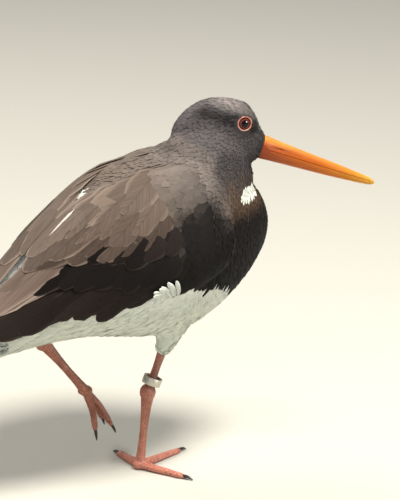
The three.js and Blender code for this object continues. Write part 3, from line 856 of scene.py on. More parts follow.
def body_spacing(points, low, high):
    """Spacings of feathers rooted between two distances from the bill, and 0 where none may grow."""
    age = coat_age(points)
    spacing = np.where(broad(points), BROAD_SPACING, 0.78 + 0.0125 * age)
    spacing[(age < low) | (age >= high)] = 0
    spacing[(to_head(points)[:, 0] > -0.8) & (age < 25)] = 0
    for _, centre, look in EYES.values():
        angle, away = eye_angle(points, centre, look)
        spacing[(angle < LID_EDGE) & (away < LID_REACH)] = 0
    spacing[on_wing(points)] = 0
    return spacing


print("share of the skin under wing feathers:", round(float(on_wing(points).mean()), 2))

# %% [markdown]
# ## The body's coat
#
# Real body feathers are short and narrow on the head and grow longer and wider towards the tail. One
# function makes a region of the coat from the sizes at each root, with a little chance in each feather. A
# feather takes its colour at its tip, where it shows, and is darker at its root, where the next one
# shades it.
# %% body feathers
# painted shade: dark body feathers are darker at the root, where the next feather covers it, and a little
# lighter at the tip
ROOT_SHADE = np.array((0.65, 0.7, 0.84, 0.97, 1.05, 1.08))  # of dark feathers, from root to tip


def clothe(name, low, high, tries, seed):
    """A piece of body plumage rooted between two distances from the bill."""
    rng = np.random.default_rng(seed)
    roots, normals = scatter(rng, lambda places: body_spacing(places, low, high), tries)
    count = len(roots)
    age, wide = coat_age(roots), broad(roots)
    vary = rng.normal(0, 1, (6, count))  # the last row is spare
    length = np.where(wide, BROAD_LENGTH, 1.8 + 0.075 * age) * (1 + 0.12 * vary[0])
    half = np.where(wide, BROAD_HALF, 0.46 + 0.0165 * age) * (1 + 0.12 * vary[1])
    depth = coat_depth(roots) * (0.75 + 0.2 * rng.random(count))
    rings, ends = lay(roots, normals, length, half, depth, 0.1 * vary[2], 0.1 * np.abs(vary[3]))
    colours = plumage(ends[:, 1])
    bright = colours[:, 1] > BRIGHT
    tone = 1 + np.where(bright, 0.03, np.where(wide, 0.1, 0.07)) * np.clip(vary[4], -2, 2)
    colours[:, :3] *= tone[:, None]
    worn = 0.03 + 0.12 * rng.random(count) * soft_step(80, 130, age)
    colours[:, 3] = np.where(bright, 0, worn * np.clip(colours[:, 1] / 0.08, 0.1, 1))
    by_row = np.repeat(colours[:, None], len(ROOT_SHADE), axis=1)
    by_row[:, :, :3] *= np.where(bright[:, None], 1.0, ROOT_SHADE[None])[:, :, None]
    feather_mesh(name, rings, ends, by_row, skin_unwrap(roots), body_feather)
    print(name, count, "feathers")


clothe("head_feathers", 0, 64, 60000, 11)
clothe("neck_feathers", 64, 112, 60000, 12)
clothe("breast_feathers", 112, 165, 40000, 13)
clothe("belly_feathers", 165, 400, 60000, 14)

# %% [markdown]
# ## The wings
#
# Each wing's feathers lie in tiers like roof tiles, the undermost first: primaries, secondaries,
# tertials, three rows of coverts and the shoulder feathers. Every tier is given by its first and its last
# feather, with a little chance in each size, and both wings are made by the same lines. A feather's
# numbers are its root's place along the body and up the sheet, its slope in degrees, length, width, lift
# off the sheet, and how pale its worn edge is.
# %% wing tiers
TIERS = [  # count, first feather, last feather, colour, how much the colour varies
    (9, (-62, 7, 2, 124, 11, -0.4, 0.06), (-54, 21, 8, 98, 13, 0.1, 0.1), "#2c231f", 0.1),  # primaries
    (9, (4, 16, 30, 36, 14, 0.3, 0.04), (-56, 12, 10, 68, 14, 0.5, 0.08), "#211915", 0.14),  # secondaries
    (5, (-18, 30, 7, 100, 19, 1.2, 0.5), (-30, 52, 23, 95, 22, 2.0, 0.8), "#6f5e54", 0.1),  # tertials
    (8, (8, 34, 55, 34, 17, 1.2, 0.03), (-36, 31, 20, 48, 17, 1.7, 0.08), "#140f0d", 0.3),  # greater coverts
    (7, (8, 47, 58, 30, 17, 1.8, 0.04), (-20, 43, 33, 38, 18, 2.2, 0.15), "#1d1613", 0.3),  # median coverts
    (6, (4, 57, 50, 42, 19, 2.3, 0.15), (-28, 51, 24, 56, 21, 2.7, 0.5), "#4c3f37", 0.18),  # lower shoulder
    (6, (4, 67, 46, 42, 19, 2.6, 0.2), (-32, 60, 28, 56, 20, 3.0, 0.7), "#5f5148", 0.14),  # middle shoulder
    (6, (2, 77, 42, 42, 18, 2.8, 0.2), (-36, 68, 32, 50, 18, 3.3, 0.8), "#6b5d53", 0.1),  # upper shoulder
]
RIGHT_ONLY = [  # out of order in the photograph: a flank tuft over the wing's edge, and a thin pale line
    (4, (4, 0, -62, 10, 3.6, 2.2, 0), (-2, 0, -16, 12, 3.2, 2.5, 0), SHADED_WHITE, 0.03),
    (3, (0, 2, -50, 8, 3.4, 2.7, 0), (-6, 1, 2, 9, 3.0, 2.8, 0), SHADED_WHITE, 0.03),
    (1, (-38, 68, 33, 31, 1.3, 3.9, 0), (-38, 68, 33, 31, 1.3, 3.9, 0), "#d9d4cb", 0.01),
]
VANE_ROWS = np.array((0, 0.03, 0.12, 0.28, 0.46, 0.64, 0.78, 0.88, 0.95, 0.985, 1))
VANE_WIDTH = np.array((0, 0.4, 0.72, 0.92, 1.0, 0.98, 0.88, 0.7, 0.44, 0.2, 0))
VANE_COLUMNS = 7
SHAFT_COLUMN = VANE_COLUMNS // 2
WEAR = 0.22  # the most that an edge is worn back, as a share of the vane
print("feathers in a wing:", sum(tier[0] for tier in TIERS))

# %% [markdown]
# ## Laying the wing's feathers
#
# A vane is a thin arched plate, widest in its middle rows, with edges worn back by chance and a raised
# shaft. Its points are laid out flat in sheet coordinates, then bent onto the wing's sheet, so that every
# feather follows the body's curve. None may cross the bird's middle, where the two wings meet over the
# tail.
# %% wing feathers
MIDDLE_GAP = 0.25


def ragged(rng, count):
    """Shares by which the two edges of each feather are worn back, row by row."""
    wear = 1 - WEAR * rng.random((count, len(VANE_ROWS), 2)) ** 2
    notch = rng.random((count, len(VANE_ROWS), 2)) < 0.05
    return np.where(notch, wear * 0.8, wear)


def tier_vanes(side, rng, sizes):
    """Upper and under sides of one tier, from a row of sizes for each feather."""
    count = len(sizes)
    x, rise, slope, length, width, lift = sizes.T[:6, :, None, None]
    length = length * rng.normal(1, 0.05, count)[:, None, None]
    width = width * rng.normal(1, 0.06, count)[:, None, None]
    slope = np.radians(slope + rng.normal(0, 2.2, count)[:, None, None])
    lift = lift + rng.normal(0, 0.15, count)[:, None, None]
    s, w, across = VANE_ROWS[:, None], VANE_WIDTH[:, None], np.linspace(0, 1, VANE_COLUMNS)
    wear = ragged(rng, count)
    half = (across - 0.5) * width * w
    half = np.where(half < 0, half * wear[:, :, :1], half * wear[:, :, 1:])
    reach = length * s
    along = x - reach * np.cos(slope) - half * np.sin(slope)
    up = rise - reach * np.sin(slope) + half * np.cos(slope)
    risen = -0.9 + (lift + 0.9) * np.minimum(1, s * 2.2)
    camber = 0.55 * (1 - (2 * across - 1) ** 2) + 0.12 * np.exp(-(((across - 0.5) / 0.06) ** 2))
    faces = on_sheet(side, along, up, risen + camber), on_sheet(side, along, up, risen + camber * 0.6 - 0.3)
    for face in faces:
        face[..., 1] = side * np.maximum(side * face[..., 1], MIDDLE_GAP)
    return faces


def wing_feathers(side, name, seed):
    """All feathers of one wing in one mesh."""
    rng = np.random.default_rng(seed)
    rings, ends, colours = [], [], []
    for count, first, last, hexa, vary in TIERS + RIGHT_ONLY * (side < 0):
        share = np.linspace(0, 1, count)[:, None]
        sizes = np.array(first) + (np.array(last) - np.array(first)) * share
        top, under = tier_vanes(side, rng, sizes)
        rings.append(np.concatenate([top[:, 1:-1], under[:, 1:-1, 1:-1][:, :, ::-1]], 2))
        ends.append(top[:, (0, -1), SHAFT_COLUMN])
        colour = np.array(light(hexa))[None] * rng.normal(1, vary, (count, 1))
        colour[:, 3] = sizes[:, 6] * (0.5 + rng.random(count))
        by_row = np.repeat(colour[:, None], len(VANE_ROWS), axis=1)
        # painted shade: each wing feather is darker towards its root, where the tier above covers it, and a
        # little lighter at its tip
        by_row[:, :, :3] *= np.linspace(0.7, 1.14, len(VANE_ROWS))[None, :, None]
        colours.append(by_row)
    rings, ends, colours = np.concatenate(rings), np.concatenate(ends), np.concatenate(colours)
    patch = skin_unwrap(ends[:, 0])
    piece = feather_mesh("wing_feathers_" + name, rings, ends, colours, patch, wing_feather, flip=side > 0)
    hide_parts("wing_" + name)
    print(piece.name, len(rings), "feathers")


wing_feathers(1, "left", 21)
wing_feathers(-1, "right", 22)

# %% [markdown]
# ## The tail
#
# Twelve feathers fan out from a flat root, the middle pair on top. They are white with a broad black end.
# Small white coverts hide their roots, above and below.
# %% tail
TAIL_ROOT = np.array((-84, 0, 112))
TAIL_TURN = np.array(Matrix.Rotation(math.radians(-21), 3, "Y"))
TAIL_LENGTH, TAIL_FAN, TAIL_PAIRS = 92, 15, 6
TAIL_END = "#1d1816"
TAIL_ROWS = [  # feathers on each side, length and height at the root, spread, whether the end is black
    (TAIL_PAIRS, 1.0, 0.0, 1.0, True),
    (4, 0.42, 1.6, 1.3, False),
    (4, 0.4, -5.6, 1.3, False),
    (4, 0.3, 3.0, 1.2, False),
    (4, 0.3, -7.0, 1.2, False),
]


def tail_feather(side, order, rng, scale, height, spread):
    """Rings and ends of one tail feather or covert, in the body's frame."""
    fan = math.radians(TAIL_FAN * (order + 0.5) / TAIL_PAIRS) * side * spread
    s, w, across = VANE_ROWS[:, None], VANE_WIDTH[:, None], np.linspace(0, 1, VANE_COLUMNS)[None]
    half = (across - 0.5) * side * (11 + 8 * s) * w * rng.normal(1, 0.04)
    back = (TAIL_LENGTH - 1.3 * order) * scale * s * rng.normal(1, 0.02)
    tilt = 1 - 2 * across
    camber = 0.4 * (1 - (2 * across - 1) ** 2)
    faces = []
    for up in (camber, camber - 0.35):
        z = -0.75 * order + 0.55 * tilt + up - 2 * s * s + height * (1 - 0.5 * s)
        x = -back * math.cos(fan) + half * math.sin(fan)
        y = back * math.sin(fan) + half * math.cos(fan) + side * order * 0.8
        faces.append(np.stack([x, y, z], -1) @ TAIL_TURN.T + TAIL_ROOT)
    top, under = faces
    return np.concatenate([top[1:-1], under[1:-1, 1:-1][:, ::-1]], 1), top[(0, -1), SHAFT_COLUMN]


rng = np.random.default_rng(31)
rings, ends, colours = {1: [], -1: []}, {1: [], -1: []}, {1: [], -1: []}
for count, scale, height, spread, black in TAIL_ROWS:
    colour = mix(np.array(light(WHITE)), TAIL_END, black * soft_step(0.56, 0.6, VANE_ROWS))
    colour[:, 3] = 0
    for order in range(count):
        for side in (1, -1):
            ring, end = tail_feather(side, order, rng, scale, height, spread)
            rings[side].append(ring)
            ends[side].append(end)
            colours[side].append(colour)
halves = []
for side in (1, -1):
    patch = skin_unwrap(np.array(ends[side])[:, 0])
    arrays = [np.array(one[side]) for one in (rings, ends, colours)]
    halves.append(feather_mesh("tail_half", *arrays, patch, wing_feather, flip=side > 0))
tail = join(halves, "tail_feathers")
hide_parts("tail")
print("tail faces:", len(tail.data.polygons))

# %% [markdown]
# ## The bill's horn
#
# Horn is keratin over bone, worn smooth: a waxy shine, a little light that goes in and comes out redder,
# and fine streaks along the bill. It is deep orange-red at the base and yellower at the tip, with a paler
# ridge that is a painted highlight of the sky's light on its top. The pattern reads Object coordinates,
# moved and turned to run along the bill.
# %% bill material
BILL_LONG = 0.0745  # metres, as Object coordinates are
bill_material, bill_shader = new_material("bill horn")
where = add(bill_material, "TexCoord").outputs["Object"]
bill_root = tuple((HEAD_ROOT + BODY) * MM)
bill_turn = tuple(Matrix(HEAD_TURN.tolist()).transposed().to_euler())
centred = add(bill_material, "VectorMath", {"operation": "SUBTRACT"}, i0=where, i1=bill_root)
turned = add(bill_material, "Mapping", Vector=centred.outputs[0], Rotation=bill_turn)
axis = add(bill_material, "SeparateXYZ", Vector=turned.outputs[0])
along = add(bill_material, "MapRange", i0=axis.outputs["X"], i1=0.0, i2=BILL_LONG)
stops = [(0.0, "#963c0c"), (0.12, "#aa4c08"), (0.5, "#c26206"), (0.8, "#d08012"), (1.0, "#dba02a")]
base = add(bill_material, "ValToRGB", stops=stops, Fac=along.outputs[0])
grain = add(bill_material, "Mapping", Vector=turned.outputs[0], Scale=(60.0, 700.0, 900.0))
fine = add(bill_material, "TexNoise", Vector=grain.outputs[0], Scale=1.0, Detail=3.0, Roughness=0.6)
# painted highlight: the top of the bill is painted paler, as the light from the sky falls on it
ridge_highlight = add(bill_material, "MapRange", i0=axis.outputs["Z"], i1=0.0022, i2=0.0062)
amount = add(bill_material, "Math", {"operation": "MULTIPLY"}, i0=ridge_highlight.outputs[0], i1=0.6)
blend = {"data_type": "RGBA"}
pale = add(bill_material, "Mix", blend, i0=amount.outputs[0], i6=base.outputs["Color"], i7=light("#ee9a40"))
streaks = add(bill_material, "MapRange", i0=fine.outputs["Fac"], i1=0.3, i2=0.7, i3=0.86, i4=1.12)
times = {"data_type": "RGBA", "blend_type": "MULTIPLY"}
coloured = add(bill_material, "Mix", times, i0=1.0, i6=pale.outputs[2], i7=streaks.outputs[0])
bill_bump = add(bill_material, "Bump", Strength=0.15, Distance=0.0002, Height=fine.outputs["Fac"])
set_inputs(bill_shader, Base_Color=coloured.outputs[2], Normal=bill_bump.outputs[0], Roughness=0.34)
set_inputs(bill_shader, Specular_IOR_Level=0.35, Subsurface_Weight=0.12, Subsurface_Scale=0.0015)
set_inputs(bill_shader, Subsurface_Radius=(1.0, 0.35, 0.12))
print("nodes in the bill's material:", len(bill_material.node_tree.nodes))

# %% [markdown]
# ## The bill
#
# A tube of rings is made through the measured sections, with a shallow groove along each side in front of
# the nostril, and cut into two halves at the line of the mouth. A Boolean with two ovals opens the
# nostrils, which are long slits.
# %% bill
bill_table = stations(
    [  # place along the bill, top, underside, half width
        (-4, 7.7, -7.7, 4.6),
        (0, 7.5, -7.5, 4.8),
        (7, 6.9, -7, 4.2),
        (31, 5.2, -5.6, 2.9),
        (46, 4.3, -4.7, 2.4),
        (59, 3.3, -3.6, 1.8),
        (68, 2.5, -2.7, 1.3),
        (72.5, 1.8, -1.9, 1.0),
        (74.5, 0.8, -0.9, 0.6),
    ]
)
MOUTH_UP, MOUTH_GAP = 0.4, 0.3
BILL_FULL = 0.9  # below 1, a section is fuller than an oval
MOUTH = (in_head((0, 0, MOUTH_UP)) + BODY) * MM
UP = in_head((0, 0, 1)) - HEAD_ROOT


def bill_tube():
    """Points and faces of the whole bill."""
    x = np.concatenate([np.linspace(-3, 66, 60), np.linspace(67, 74.4, 16)])[:, None]
    top, under, half = np.moveaxis(bill_table(x), -1, 0)
    angle = np.linspace(0, 2 * math.pi, 40, endpoint=False)
    c, s = np.cos(angle), np.sin(angle)
    y = half * (np.sign(c) * np.abs(c) ** BILL_FULL)
    z = (top + under) / 2 + (top - under) / 2 * (np.sign(s) * np.abs(s) ** BILL_FULL)
    groove = np.exp(-(((z - 2.6 + 0.02 * x) / 0.9) ** 2)) * soft_step(40, 14, x) * soft_step(1, 6, x)
    y = y * (1 - 0.12 * groove)
    points, faces = grid_tube(np.stack([np.broadcast_to(x, y.shape), y, z], -1))
    return in_head(points), faces


def bill_half(name, way, node):
    """The bill cut at the line of the mouth; way is 1 for the upper half and -1 for the lower."""
    half = mesh_object(name, *bill_tube(), bill_material)
    face_outwards(half)
    bpy.ops.object.mode_set(mode="EDIT")
    bpy.ops.mesh.select_all(action="SELECT")
    at = MOUTH + UP * way * MOUTH_GAP / 2 * MM
    bpy.ops.mesh.bisect(plane_co=at, plane_no=UP * way, use_fill=True, clear_inner=True)
    bpy.ops.object.mode_set(mode="OBJECT")
    face_outwards(half)
    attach(half, "root")
    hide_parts(node)
    return half


upper = bill_half("upper_bill", 1, "bill_upper")
lower = bill_half("lower_bill", -1, "bill_lower")
for side in (1, -1):
    nostril = ball(1, 24, 12)
    place = moved_to(in_head((11, side * 4.3, 2.8)))
    nostril.data.transform(place @ Matrix(HEAD_TURN.tolist()).to_4x4() @ stretched((5, 1.6, 0.7)))
    apply(upper, "BOOLEAN", operation="DIFFERENCE", object=nostril, solver="EXACT")
    bpy.data.objects.remove(nostril, do_unlink=True)
for half in (upper, lower):
    select_only(half)
    bpy.ops.object.shade_smooth_by_angle(angle=math.radians(50))
print("bill faces:", len(upper.data.polygons), len(lower.data.polygons))

# %% [markdown]
# ## What the eyes are made of
#
# The eyeball is wet and clear over a dark red-brown iris with a wide pupil, so it gets a smooth clear
# coat with the IOR of tears, and no shine below it. The rings of colour read the sphere's own map, whose
# Y runs from the back of the eye to its front. The bare ring of skin is thin and moist: a soft shine, and
# blood that glows through.
# %% eye and lid materials
eye_material, eye_shader = new_material("wet eye")
uv = add(eye_material, "SeparateXYZ", Vector=add(eye_material, "UVMap", {"uv_map": "UVMap"}).outputs["UV"])
iris_map = add(eye_material, "CombineXYZ", X=uv.outputs["X"], Y=uv.outputs["Y"])
iris_scale = add(eye_material, "Mapping", Vector=iris_map.outputs[0], Scale=(90.0, 14.0, 1.0))
fibre = add(eye_material, "TexNoise", Vector=iris_scale.outputs[0], Scale=1.0, Detail=2.0)
stops = [(0.78, "#1a0a08"), (0.82, "#54241c"), (0.86, "#68302a"), (0.885, "#3a1512"), (0.892, "#040303")]
eye_rings = add(eye_material, "ValToRGB", stops=stops, Fac=uv.outputs["Y"])
tone = add(eye_material, "MapRange", i0=fibre.outputs["Fac"], i1=0.3, i2=0.7, i3=0.7, i4=1.3)
eye_colour = add(eye_material, "Mix", times, i0=1.0, i6=eye_rings.outputs["Color"], i7=tone.outputs[0])
set_inputs(eye_shader, Base_Color=eye_colour.outputs[2], Roughness=0.25, Specular_IOR_Level=0.0)
set_inputs(eye_shader, Coat_Weight=1.0, Coat_Roughness=0.02, Coat_IOR=1.34)

lid_material, lid_shader = new_material("bare eye ring skin")
lid_place = add(lid_material, "TexCoord").outputs["Object"]
lid_noise = add(lid_material, "TexNoise", Vector=lid_place, Scale=1400.0, Detail=2.0)
stops = [(0.3, "#ab6450"), (0.7, "#dc9c86")]
lid_base = add(lid_material, "ValToRGB", stops=stops, Fac=lid_noise.outputs["Fac"])
set_inputs(lid_shader, Base_Color=lid_base.outputs["Color"], Roughness=0.45)
set_inputs(lid_shader, Subsurface_Weight=0.2, Subsurface_Scale=0.0006, Subsurface_Radius=(1.0, 0.3, 0.2))
print("eye and lid materials made")

# %% [markdown]
# ## Eyes and the rings round them
#
# A sphere primitive is turned so that its pole looks out. The bare ring is a torus on the rim of the
# socket, wrinkled by a little noise that a Displace modifier adds.
# %% eyes
LID_ANGLE, LID_AT, LID_THICK = math.radians(40.5), 6.75, 0.48
WRINKLE = 0.0011
for name, (side, centre, look) in EYES.items():
    place = moved_to(centre) @ Vector(look).to_track_quat("Z", "Y").to_matrix().to_4x4()
    eye = ball(EYE_RADIUS * MM, 64, 48)
    eye.name = eye.data.name = "eyeball_" + name
    eye.data.transform(place)
    eye.data.materials.append(eye_material)
    eye.data.shade_smooth()
    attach(eye, "root")
    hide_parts("eye_" + name)
    round_it, thick = LID_AT * math.sin(LID_ANGLE) * MM, LID_THICK * MM
    segments = {"major_segments": 72, "minor_segments": 14}
    bpy.ops.mesh.primitive_torus_add(major_radius=round_it, minor_radius=thick, **segments)
    ring = bpy.context.object
    ring.name = ring.data.name = "eye_ring_" + name
    out = Vector(look) * LID_AT * math.cos(LID_ANGLE) * MM
    ring.data.transform(Matrix.Translation(out) @ place)
    texture = bpy.data.textures.new("wrinkles", "CLOUDS")
    texture.noise_scale = WRINKLE
    apply(ring, "DISPLACE", texture=texture, strength=0.00035, mid_level=0.6, texture_coords="LOCAL")
    ring.data.materials.append(lid_material)
    ring.data.shade_smooth()
    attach(ring, "root")
    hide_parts("eyelid_" + name)
print("eyes look", [look.round(2).tolist() for _, _, look in EYES.values()])

# %% [markdown]
# ## Leg skin and claw horn
#
# A wader's leg is covered by small horny scales: flesh pink, duller on the leg and brighter on the toes,
# with darker grooves between the scales. They are drawn about 1.5 mm wide, a little coarser than real
# ones, so that they show. A claw is worn horn, dark brown, with a dull shine.
# %% leg and claw materials
leg_material, leg_shader = new_material("scaly leg skin")
leg_place = add(leg_material, "TexCoord").outputs["Object"]
scales = add(leg_material, "TexVoronoi", {"feature": "DISTANCE_TO_EDGE"}, Vector=leg_place, Scale=650.0)
groove = add(leg_material, "MapRange", i0=scales.outputs["Distance"], i1=0.0, i2=0.12)
blotch = add(leg_material, "TexNoise", Vector=leg_place, Scale=120.0, Detail=3.0)
stops = [(0.3, "#955540"), (0.5, "#a8674e"), (0.7, "#bb7f65")]
leg_base = add(leg_material, "ValToRGB", stops=stops, Fac=blotch.outputs["Fac"]).outputs["Color"]
leg_up = add(leg_material, "SeparateXYZ", Vector=leg_place)
low = add(leg_material, "MapRange", i0=leg_up.outputs["Z"], i1=0.022, i2=0.004, i3=0.0, i4=0.8)
pink = add(leg_material, "Mix", blend, i0=low.outputs[0], i6=leg_base, i7=light("#d98b76"))
leg_colour = add(leg_material, "Mix", blend, i0=groove.outputs[0], i6=light("#7d4433"), i7=pink.outputs[2])
leg_bump = add(leg_material, "Bump", Strength=0.4, Distance=0.0002, Height=groove.outputs[0])
set_inputs(leg_shader, Base_Color=leg_colour.outputs[2], Normal=leg_bump.outputs[0], Roughness=0.5)
set_inputs(leg_shader, Subsurface_Weight=0.15, Subsurface_Scale=0.001, Subsurface_Radius=(1.0, 0.35, 0.2))

claw_material, claw_shader = new_material("dark claw horn")
set_inputs(claw_shader, Base_Color=light("#2b221e"), Roughness=0.4)
print("leg and claw materials made")

# %% [markdown]
# ## Where the legs stand
#
# Each leg is a run of places: the hem of the thigh's feathers, the ankle joint, the foot and three toes.
# The right foot stands, so its toes are given by a heading in degrees and a length on the floor. The left
# foot swings, so its toes are given by the places of their tips.
# %% places of the legs
SOLE = -BODY
SOLE_GAP, SKIN_GAP = 0.05, 0.03  # from the floor to the shapes, and to the finished skin
LEGS = {
    "right": {
        "hem": np.array((9, -12.5, 79)),
        "ankle": SOLE + (5.6, 0, 49.9),
        "foot": SOLE + (0, 0, 2.9),
        "flat": {"outer": (-58, 33), "middle": (21, 36), "inner": (97, 26)},
        "tips": {},
    },
    "left": {
        "hem": np.array((-45, 19, 91)),
        "ankle": np.array((-58, 18, 87)),
        "foot": np.array((-26.5, 25, 47)),
        "flat": {},
        "tips": {"outer": (-11, 34, 22.5), "middle": (-8.5, 25, 20.5), "inner": (-23, 17.5, 22)},
    },
}


def toe_paths(leg):
    """Points along each toe of a leg, from the foot to the root of the claw."""
    foot, paths = leg["foot"], {}
    for name, (heading, length) in leg["flat"].items():
        flat = np.array((math.cos(math.radians(heading)), math.sin(math.radians(heading)), 0)) * length
        knuckles = [SOLE + flat * share + (0, 0, up) for share, up in ((0.35, 2), (0.7, 1.75), (1, 1.3))]
        paths[name] = [foot] + knuckles
    for name, tip in leg["tips"].items():
        paths[name] = [foot, (foot + np.array(tip)) / 2 + (1.5, 0, 0), np.array(tip)]
    return paths


print("toes:", [list(toe_paths(leg)) for leg in LEGS.values()])

# %% [markdown]
# ## Limbs
#
# A limb is a tube round a smooth line, with its own width and depth at each share of its length. Separate
# closed shapes are then melted by a fine voxel remesh, smoothed, and a cell pattern raises the scales a
# little. The skin runs on from the feathered thigh to the claws, so it stands for several solids.
# %% limb


def limb(knots, radii, sides=20, count=24, floor=None):
    """A closed limb round a smooth line through knots; radii are (share, across, front to back)."""
    knots = np.asarray(knots, float)
    far = np.concatenate([[0], np.cumsum(np.linalg.norm(np.diff(knots, axis=0), axis=1))])
    line = stations([(place, *knot) for place, knot in zip(far / far[-1], knots)])
    share = np.linspace(0, 1, count)
    middle = line(share)
    tangent = unit(line(np.minimum(share + 0.01, 1)) - line(np.maximum(share - 0.01, 0)))
    sideways = np.array((0, 1.0, 0))
    across = unit(sideways - tangent * (tangent @ sideways)[:, None])
    front = np.cross(across, tangent)
    wide, deep = np.moveaxis(stations(radii)(share), -1, 0)
    angle = np.linspace(0, 2 * math.pi, sides, endpoint=False)
    ring = across[:, None] * (wide[:, None] * np.sin(angle))[..., None]
    ring = ring + front[:, None] * (deep[:, None] * np.cos(angle))[..., None]
    points, faces = grid_tube(middle[:, None] + ring)
    if floor is not None:
        points[:, 2] = np.maximum(points[:, 2], floor)
    return points, faces


def lift_off(thing, gap):
    """Keeps a mesh's points a gap above the floor."""
    for vertex in thing.data.vertices:
        vertex.co.z = max(vertex.co.z, gap * MM)


print("points of a limb:", len(limb([(0, 0, 0), (0, 0, 9)], [(0, 1, 1), (1, 1, 1)])[0]))

# %% [markdown]
# ## Claws
#
# Each toe ends in a short curved claw, a limb of its own that starts inside the toe's skin and thins to a
# point.
# %% claws
CLAW = [(0, 1.3, 1.1), (0.4, 1.1, 1), (0.8, 0.6, 0.6), (1, 0.25, 0.25)]


def add_claw(leg_name, toe_name, path, floor):
    """The claw at the end of a toe's path."""
    before, tip = path[-2:]
    way = unit(tip - before)
    knots = [tip - 1.5 * way + (0, 0, 0.3), tip + 2.5 * way + (0, 0, 0.5), tip + 6 * way + (0, 0, -0.5)]
    shape = limb(knots, CLAW, 14, 18, floor)
    claw = mesh_object("claw_tip_" + leg_name + "_" + toe_name, *shape, claw_material)
    face_outwards(claw)
    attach(claw, "root")
    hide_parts("claw_" + leg_name + "_" + toe_name)


print("radii of a claw's tip:", CLAW[-1][1:])

# %% [markdown]
# ## The legs
#
# The shank is only a stub, because feathers hide the rest. Balls thicken the ankle joint and the foot, as
# the real joints are thicker than the bones between them.
# %% legs
SHANK = [(0, 2.7, 3), (0.7, 2.6, 2.7), (1, 3.3, 3.9)]  # share of the length, radius across, front to back
TARSUS = [(0, 4.1, 4.5), (0.25, 2.5, 3.3), (0.6, 2.2, 2.6), (0.85, 2.9, 2.9), (1, 3.9, 3.3)]
TOE = [(0, 3.1, 2.5), (0.45, 2.8, 2.3), (0.7, 2.4, 2.0), (0.9, 2.2, 1.8), (1, 1.4, 1.2)]
ANKLE_RADII, FOOT_RADII = (5.2, 4.6, 5.8), (4.8, 4.6, 3.3)
LEG_VOXEL = 0.42
for name, leg in LEGS.items():
    hem, ankle, foot, toes = leg["hem"], leg["ankle"], leg["foot"], toe_paths(leg)
    floor = SOLE[2] + SOLE_GAP if name == "right" else None
    shank = limb([ankle + (hem - ankle) * 1.15, ankle + (hem - ankle) * 0.5, ankle], SHANK)
    bone = [ankle, ankle + (foot - ankle) * 0.35, ankle + (foot - ankle) * 0.8, foot]
    shapes = [shank, limb(bone, TARSUS, floor=floor)]
    shapes += [limb(path, TOE, 16, 30, floor) for path in toes.values()]
    parts = [mesh_object("limb", *shape, leg_material) for shape in shapes]
    for place, radii in ((ankle, ANKLE_RADII), (foot, FOOT_RADII)):
        parts.append(ball(1, 24, 16))
        parts[-1].data.transform(moved_to(place) @ stretched(radii))
        if floor is not None:
            lift_off(parts[-1], SOLE_GAP)
    for part in parts:
        face_outwards(part)
    leg_skin = join(parts, "leg_skin_" + name)
    apply(leg_skin, "REMESH", mode="VOXEL", voxel_size=LEG_VOXEL * MM)
    apply(leg_skin, "SMOOTH", factor=0.5, iterations=3)
    texture = bpy.data.textures.new("scales", "VORONOI")
    texture.noise_scale = 0.0016
    apply(leg_skin, "DISPLACE", texture=texture, strength=-0.00022, mid_level=0.35, texture_coords="LOCAL")
    lift_off(leg_skin, SKIN_GAP)
    leg_skin.data.materials.clear()
    leg_skin.data.materials.append(leg_material)
    leg_skin.data.shade_smooth()
    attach(leg_skin, "root")
    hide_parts("shank_" + name, "tarsus_" + name, "foot_" + name)
    for toe_name, path in toes.items():
        add_claw(name, toe_name, path, floor)
    print("leg", name, len(leg_skin.data.polygons), "faces")

# %% [markdown]
# ## The leg ring
#
# A plain metal ring, loose on the leg just above the ankle joint. A cylinder with a hole would do; here a
# profile with rounded rims is turned round the axis, which gives the bright lines at its edges. Rolled
# aluminium dulls in salt water, so its reflections are broad and soft.
# %% leg ring
RING_IN, RING_OUT, RING_HIGH, RING_ABOVE = 5.25, 5.95, 5, 7.9
RING_STEPS = 72
ring_material, ring_shader = new_material("dull aluminium")
set_inputs(ring_shader, Base_Color=light("#b9b5a6"), Metallic=1.0, Roughness=0.42)
lean = unit(np.array((0.4, -0.05, 1)))
right = LEGS["right"]
shank_way = unit(right["hem"] - right["ankle"])
ring_middle = right["ankle"] + (shank_way * 0.6 + lean * 0.4) * RING_ABOVE
half, rim = RING_HIGH / 2, 0.25
profile = [(RING_IN, -half + rim), (RING_IN, half - rim), (RING_IN + rim * 0.3, half - rim * 0.3)]
profile += [(RING_IN + rim, half), (RING_OUT - rim, half), (RING_OUT - rim * 0.3, half - rim * 0.3)]
profile += [(RING_OUT, half - rim), (RING_OUT, -half + rim), (RING_OUT - rim * 0.3, -half + rim * 0.3)]
profile += [(RING_OUT - rim, -half), (RING_IN + rim, -half), (RING_IN + rim * 0.3, -half + rim * 0.3)]
ring_turn = np.array(Vector((0, 0, 1)).rotation_difference(Vector(lean)).to_matrix())
sides = len(profile)
ring_points, ring_faces = [], []
for i in range(RING_STEPS):
    angle = 2 * math.pi * i / RING_STEPS
    ring_points += [(r * math.cos(angle), r * math.sin(angle), h) for r, h in profile]
    after = (i + 1) % RING_STEPS
    for j in range(sides):
        k = (j + 1) % sides
        ring_faces.append((i * sides + j, i * sides + k, after * sides + k, after * sides + j))
ring_points = np.array(ring_points) @ ring_turn.T + ring_middle
leg_ring = mesh_object("metal_ring", ring_points, ring_faces, ring_material)
face_outwards(leg_ring)
leg_ring.data.shade_smooth()
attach(leg_ring, "root")
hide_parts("leg_ring")
print("ring rests", round(float(ring_middle[2] - half), 1), "mm up in the body's frame")

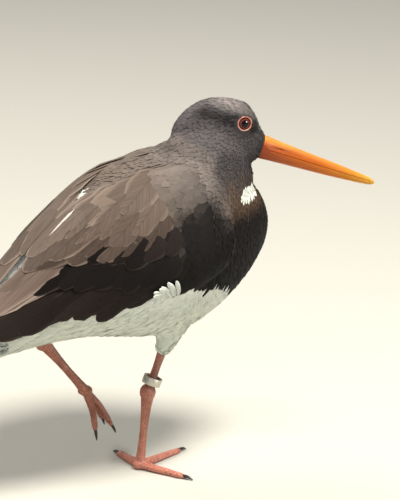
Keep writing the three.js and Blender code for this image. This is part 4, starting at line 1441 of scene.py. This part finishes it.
# %% [markdown]
# ## Floor and light
#
# The bird stands on a pale, matt floor under soft studio light: a broad lamp above and a little to the
# right, as the sun is in the photograph, a weaker one from the left, and one from behind to draw the edge
# of the back. A small lamp in front of the bird shows in gloss only, and gives the eye its glint.
# %% floor and light
floor_material, floor_shader = new_material("matt studio floor")
set_inputs(floor_shader, Base_Color=light("#c4c2ba"), Roughness=0.9)
bpy.ops.mesh.primitive_plane_add(size=14)
floor = bpy.context.object
floor.name = "floor"
floor.data.materials.append(floor_material)
world = bpy.data.worlds.new("studio")
world.use_nodes = True
set_inputs(world.node_tree.nodes["Background"], Color=light("#dfe3e6"), Strength=0.34)
bpy.context.scene.world = world
LIT = Vector((0, 0, 0.14))  # the middle of the bird


def lamp(name, place, size, power, hexa):
    """A round soft lamp that shines on the bird. Places and sizes are in metres."""
    data = bpy.data.lights.new(name, "AREA")
    data.shape, data.size, data.energy = "DISK", size, power
    data.color = light(hexa)[:3]
    thing = bpy.data.objects.new(name, data)
    thing.location = place
    thing.rotation_euler = (LIT - Vector(place)).to_track_quat("-Z", "Y").to_euler()
    bpy.context.scene.collection.objects.link(thing)
    return thing


lamp("sun side", (0.25, -0.35, 1.25), 0.4, 27, "#fffaf0")
lamp("left fill", (-0.9, -0.9, 0.5), 1.2, 3.5, "#e8eefc")
lamp("eye light", (0.7, -1.1, 0.34), 0.34, 14, "#ffffff").visible_diffuse = False
lamp("back edge", (-0.3, 0.9, 1.0), 0.7, 9, "#fff8ee")
print("lamps:", len(bpy.data.lights))

# %% [markdown]
# ## Camera
#
# The camera looks from the bird's right, a little from behind and above, with a long lens, as the
# photograph was taken. Its place is given by a turn, a tip and a distance, and by where the middle of the
# frame falls.
# %% camera
TURN, TIP, AWAY = math.radians(26), math.radians(19), 2200
FRAME_RIGHT, FRAME_UP = 37.5, 136.25
LENS, SENSOR = 253.4, 36
forward = np.array((math.sin(TURN) * math.cos(TIP), math.cos(TURN) * math.cos(TIP), -math.sin(TIP)))
rightward = np.array((math.cos(TURN), -math.sin(TURN), 0))
upward = np.cross(rightward, forward)
eye_point = rightward * FRAME_RIGHT + upward * FRAME_UP - forward * AWAY
camera_data = bpy.data.cameras.new("camera")
camera_data.lens, camera_data.sensor_width = LENS, SENSOR
camera_data.clip_end = 30
camera = bpy.data.objects.new("camera", camera_data)
axes = Matrix(np.stack([rightward, upward, -forward], 1).tolist()).to_4x4()
camera.matrix_world = Matrix.Translation(eye_point * MM) @ axes
bpy.context.scene.collection.objects.link(camera)
bpy.context.scene.camera = camera
bpy.context.scene.view_settings.view_transform = "Standard"
print("camera at", camera.location.to_tuple(2))
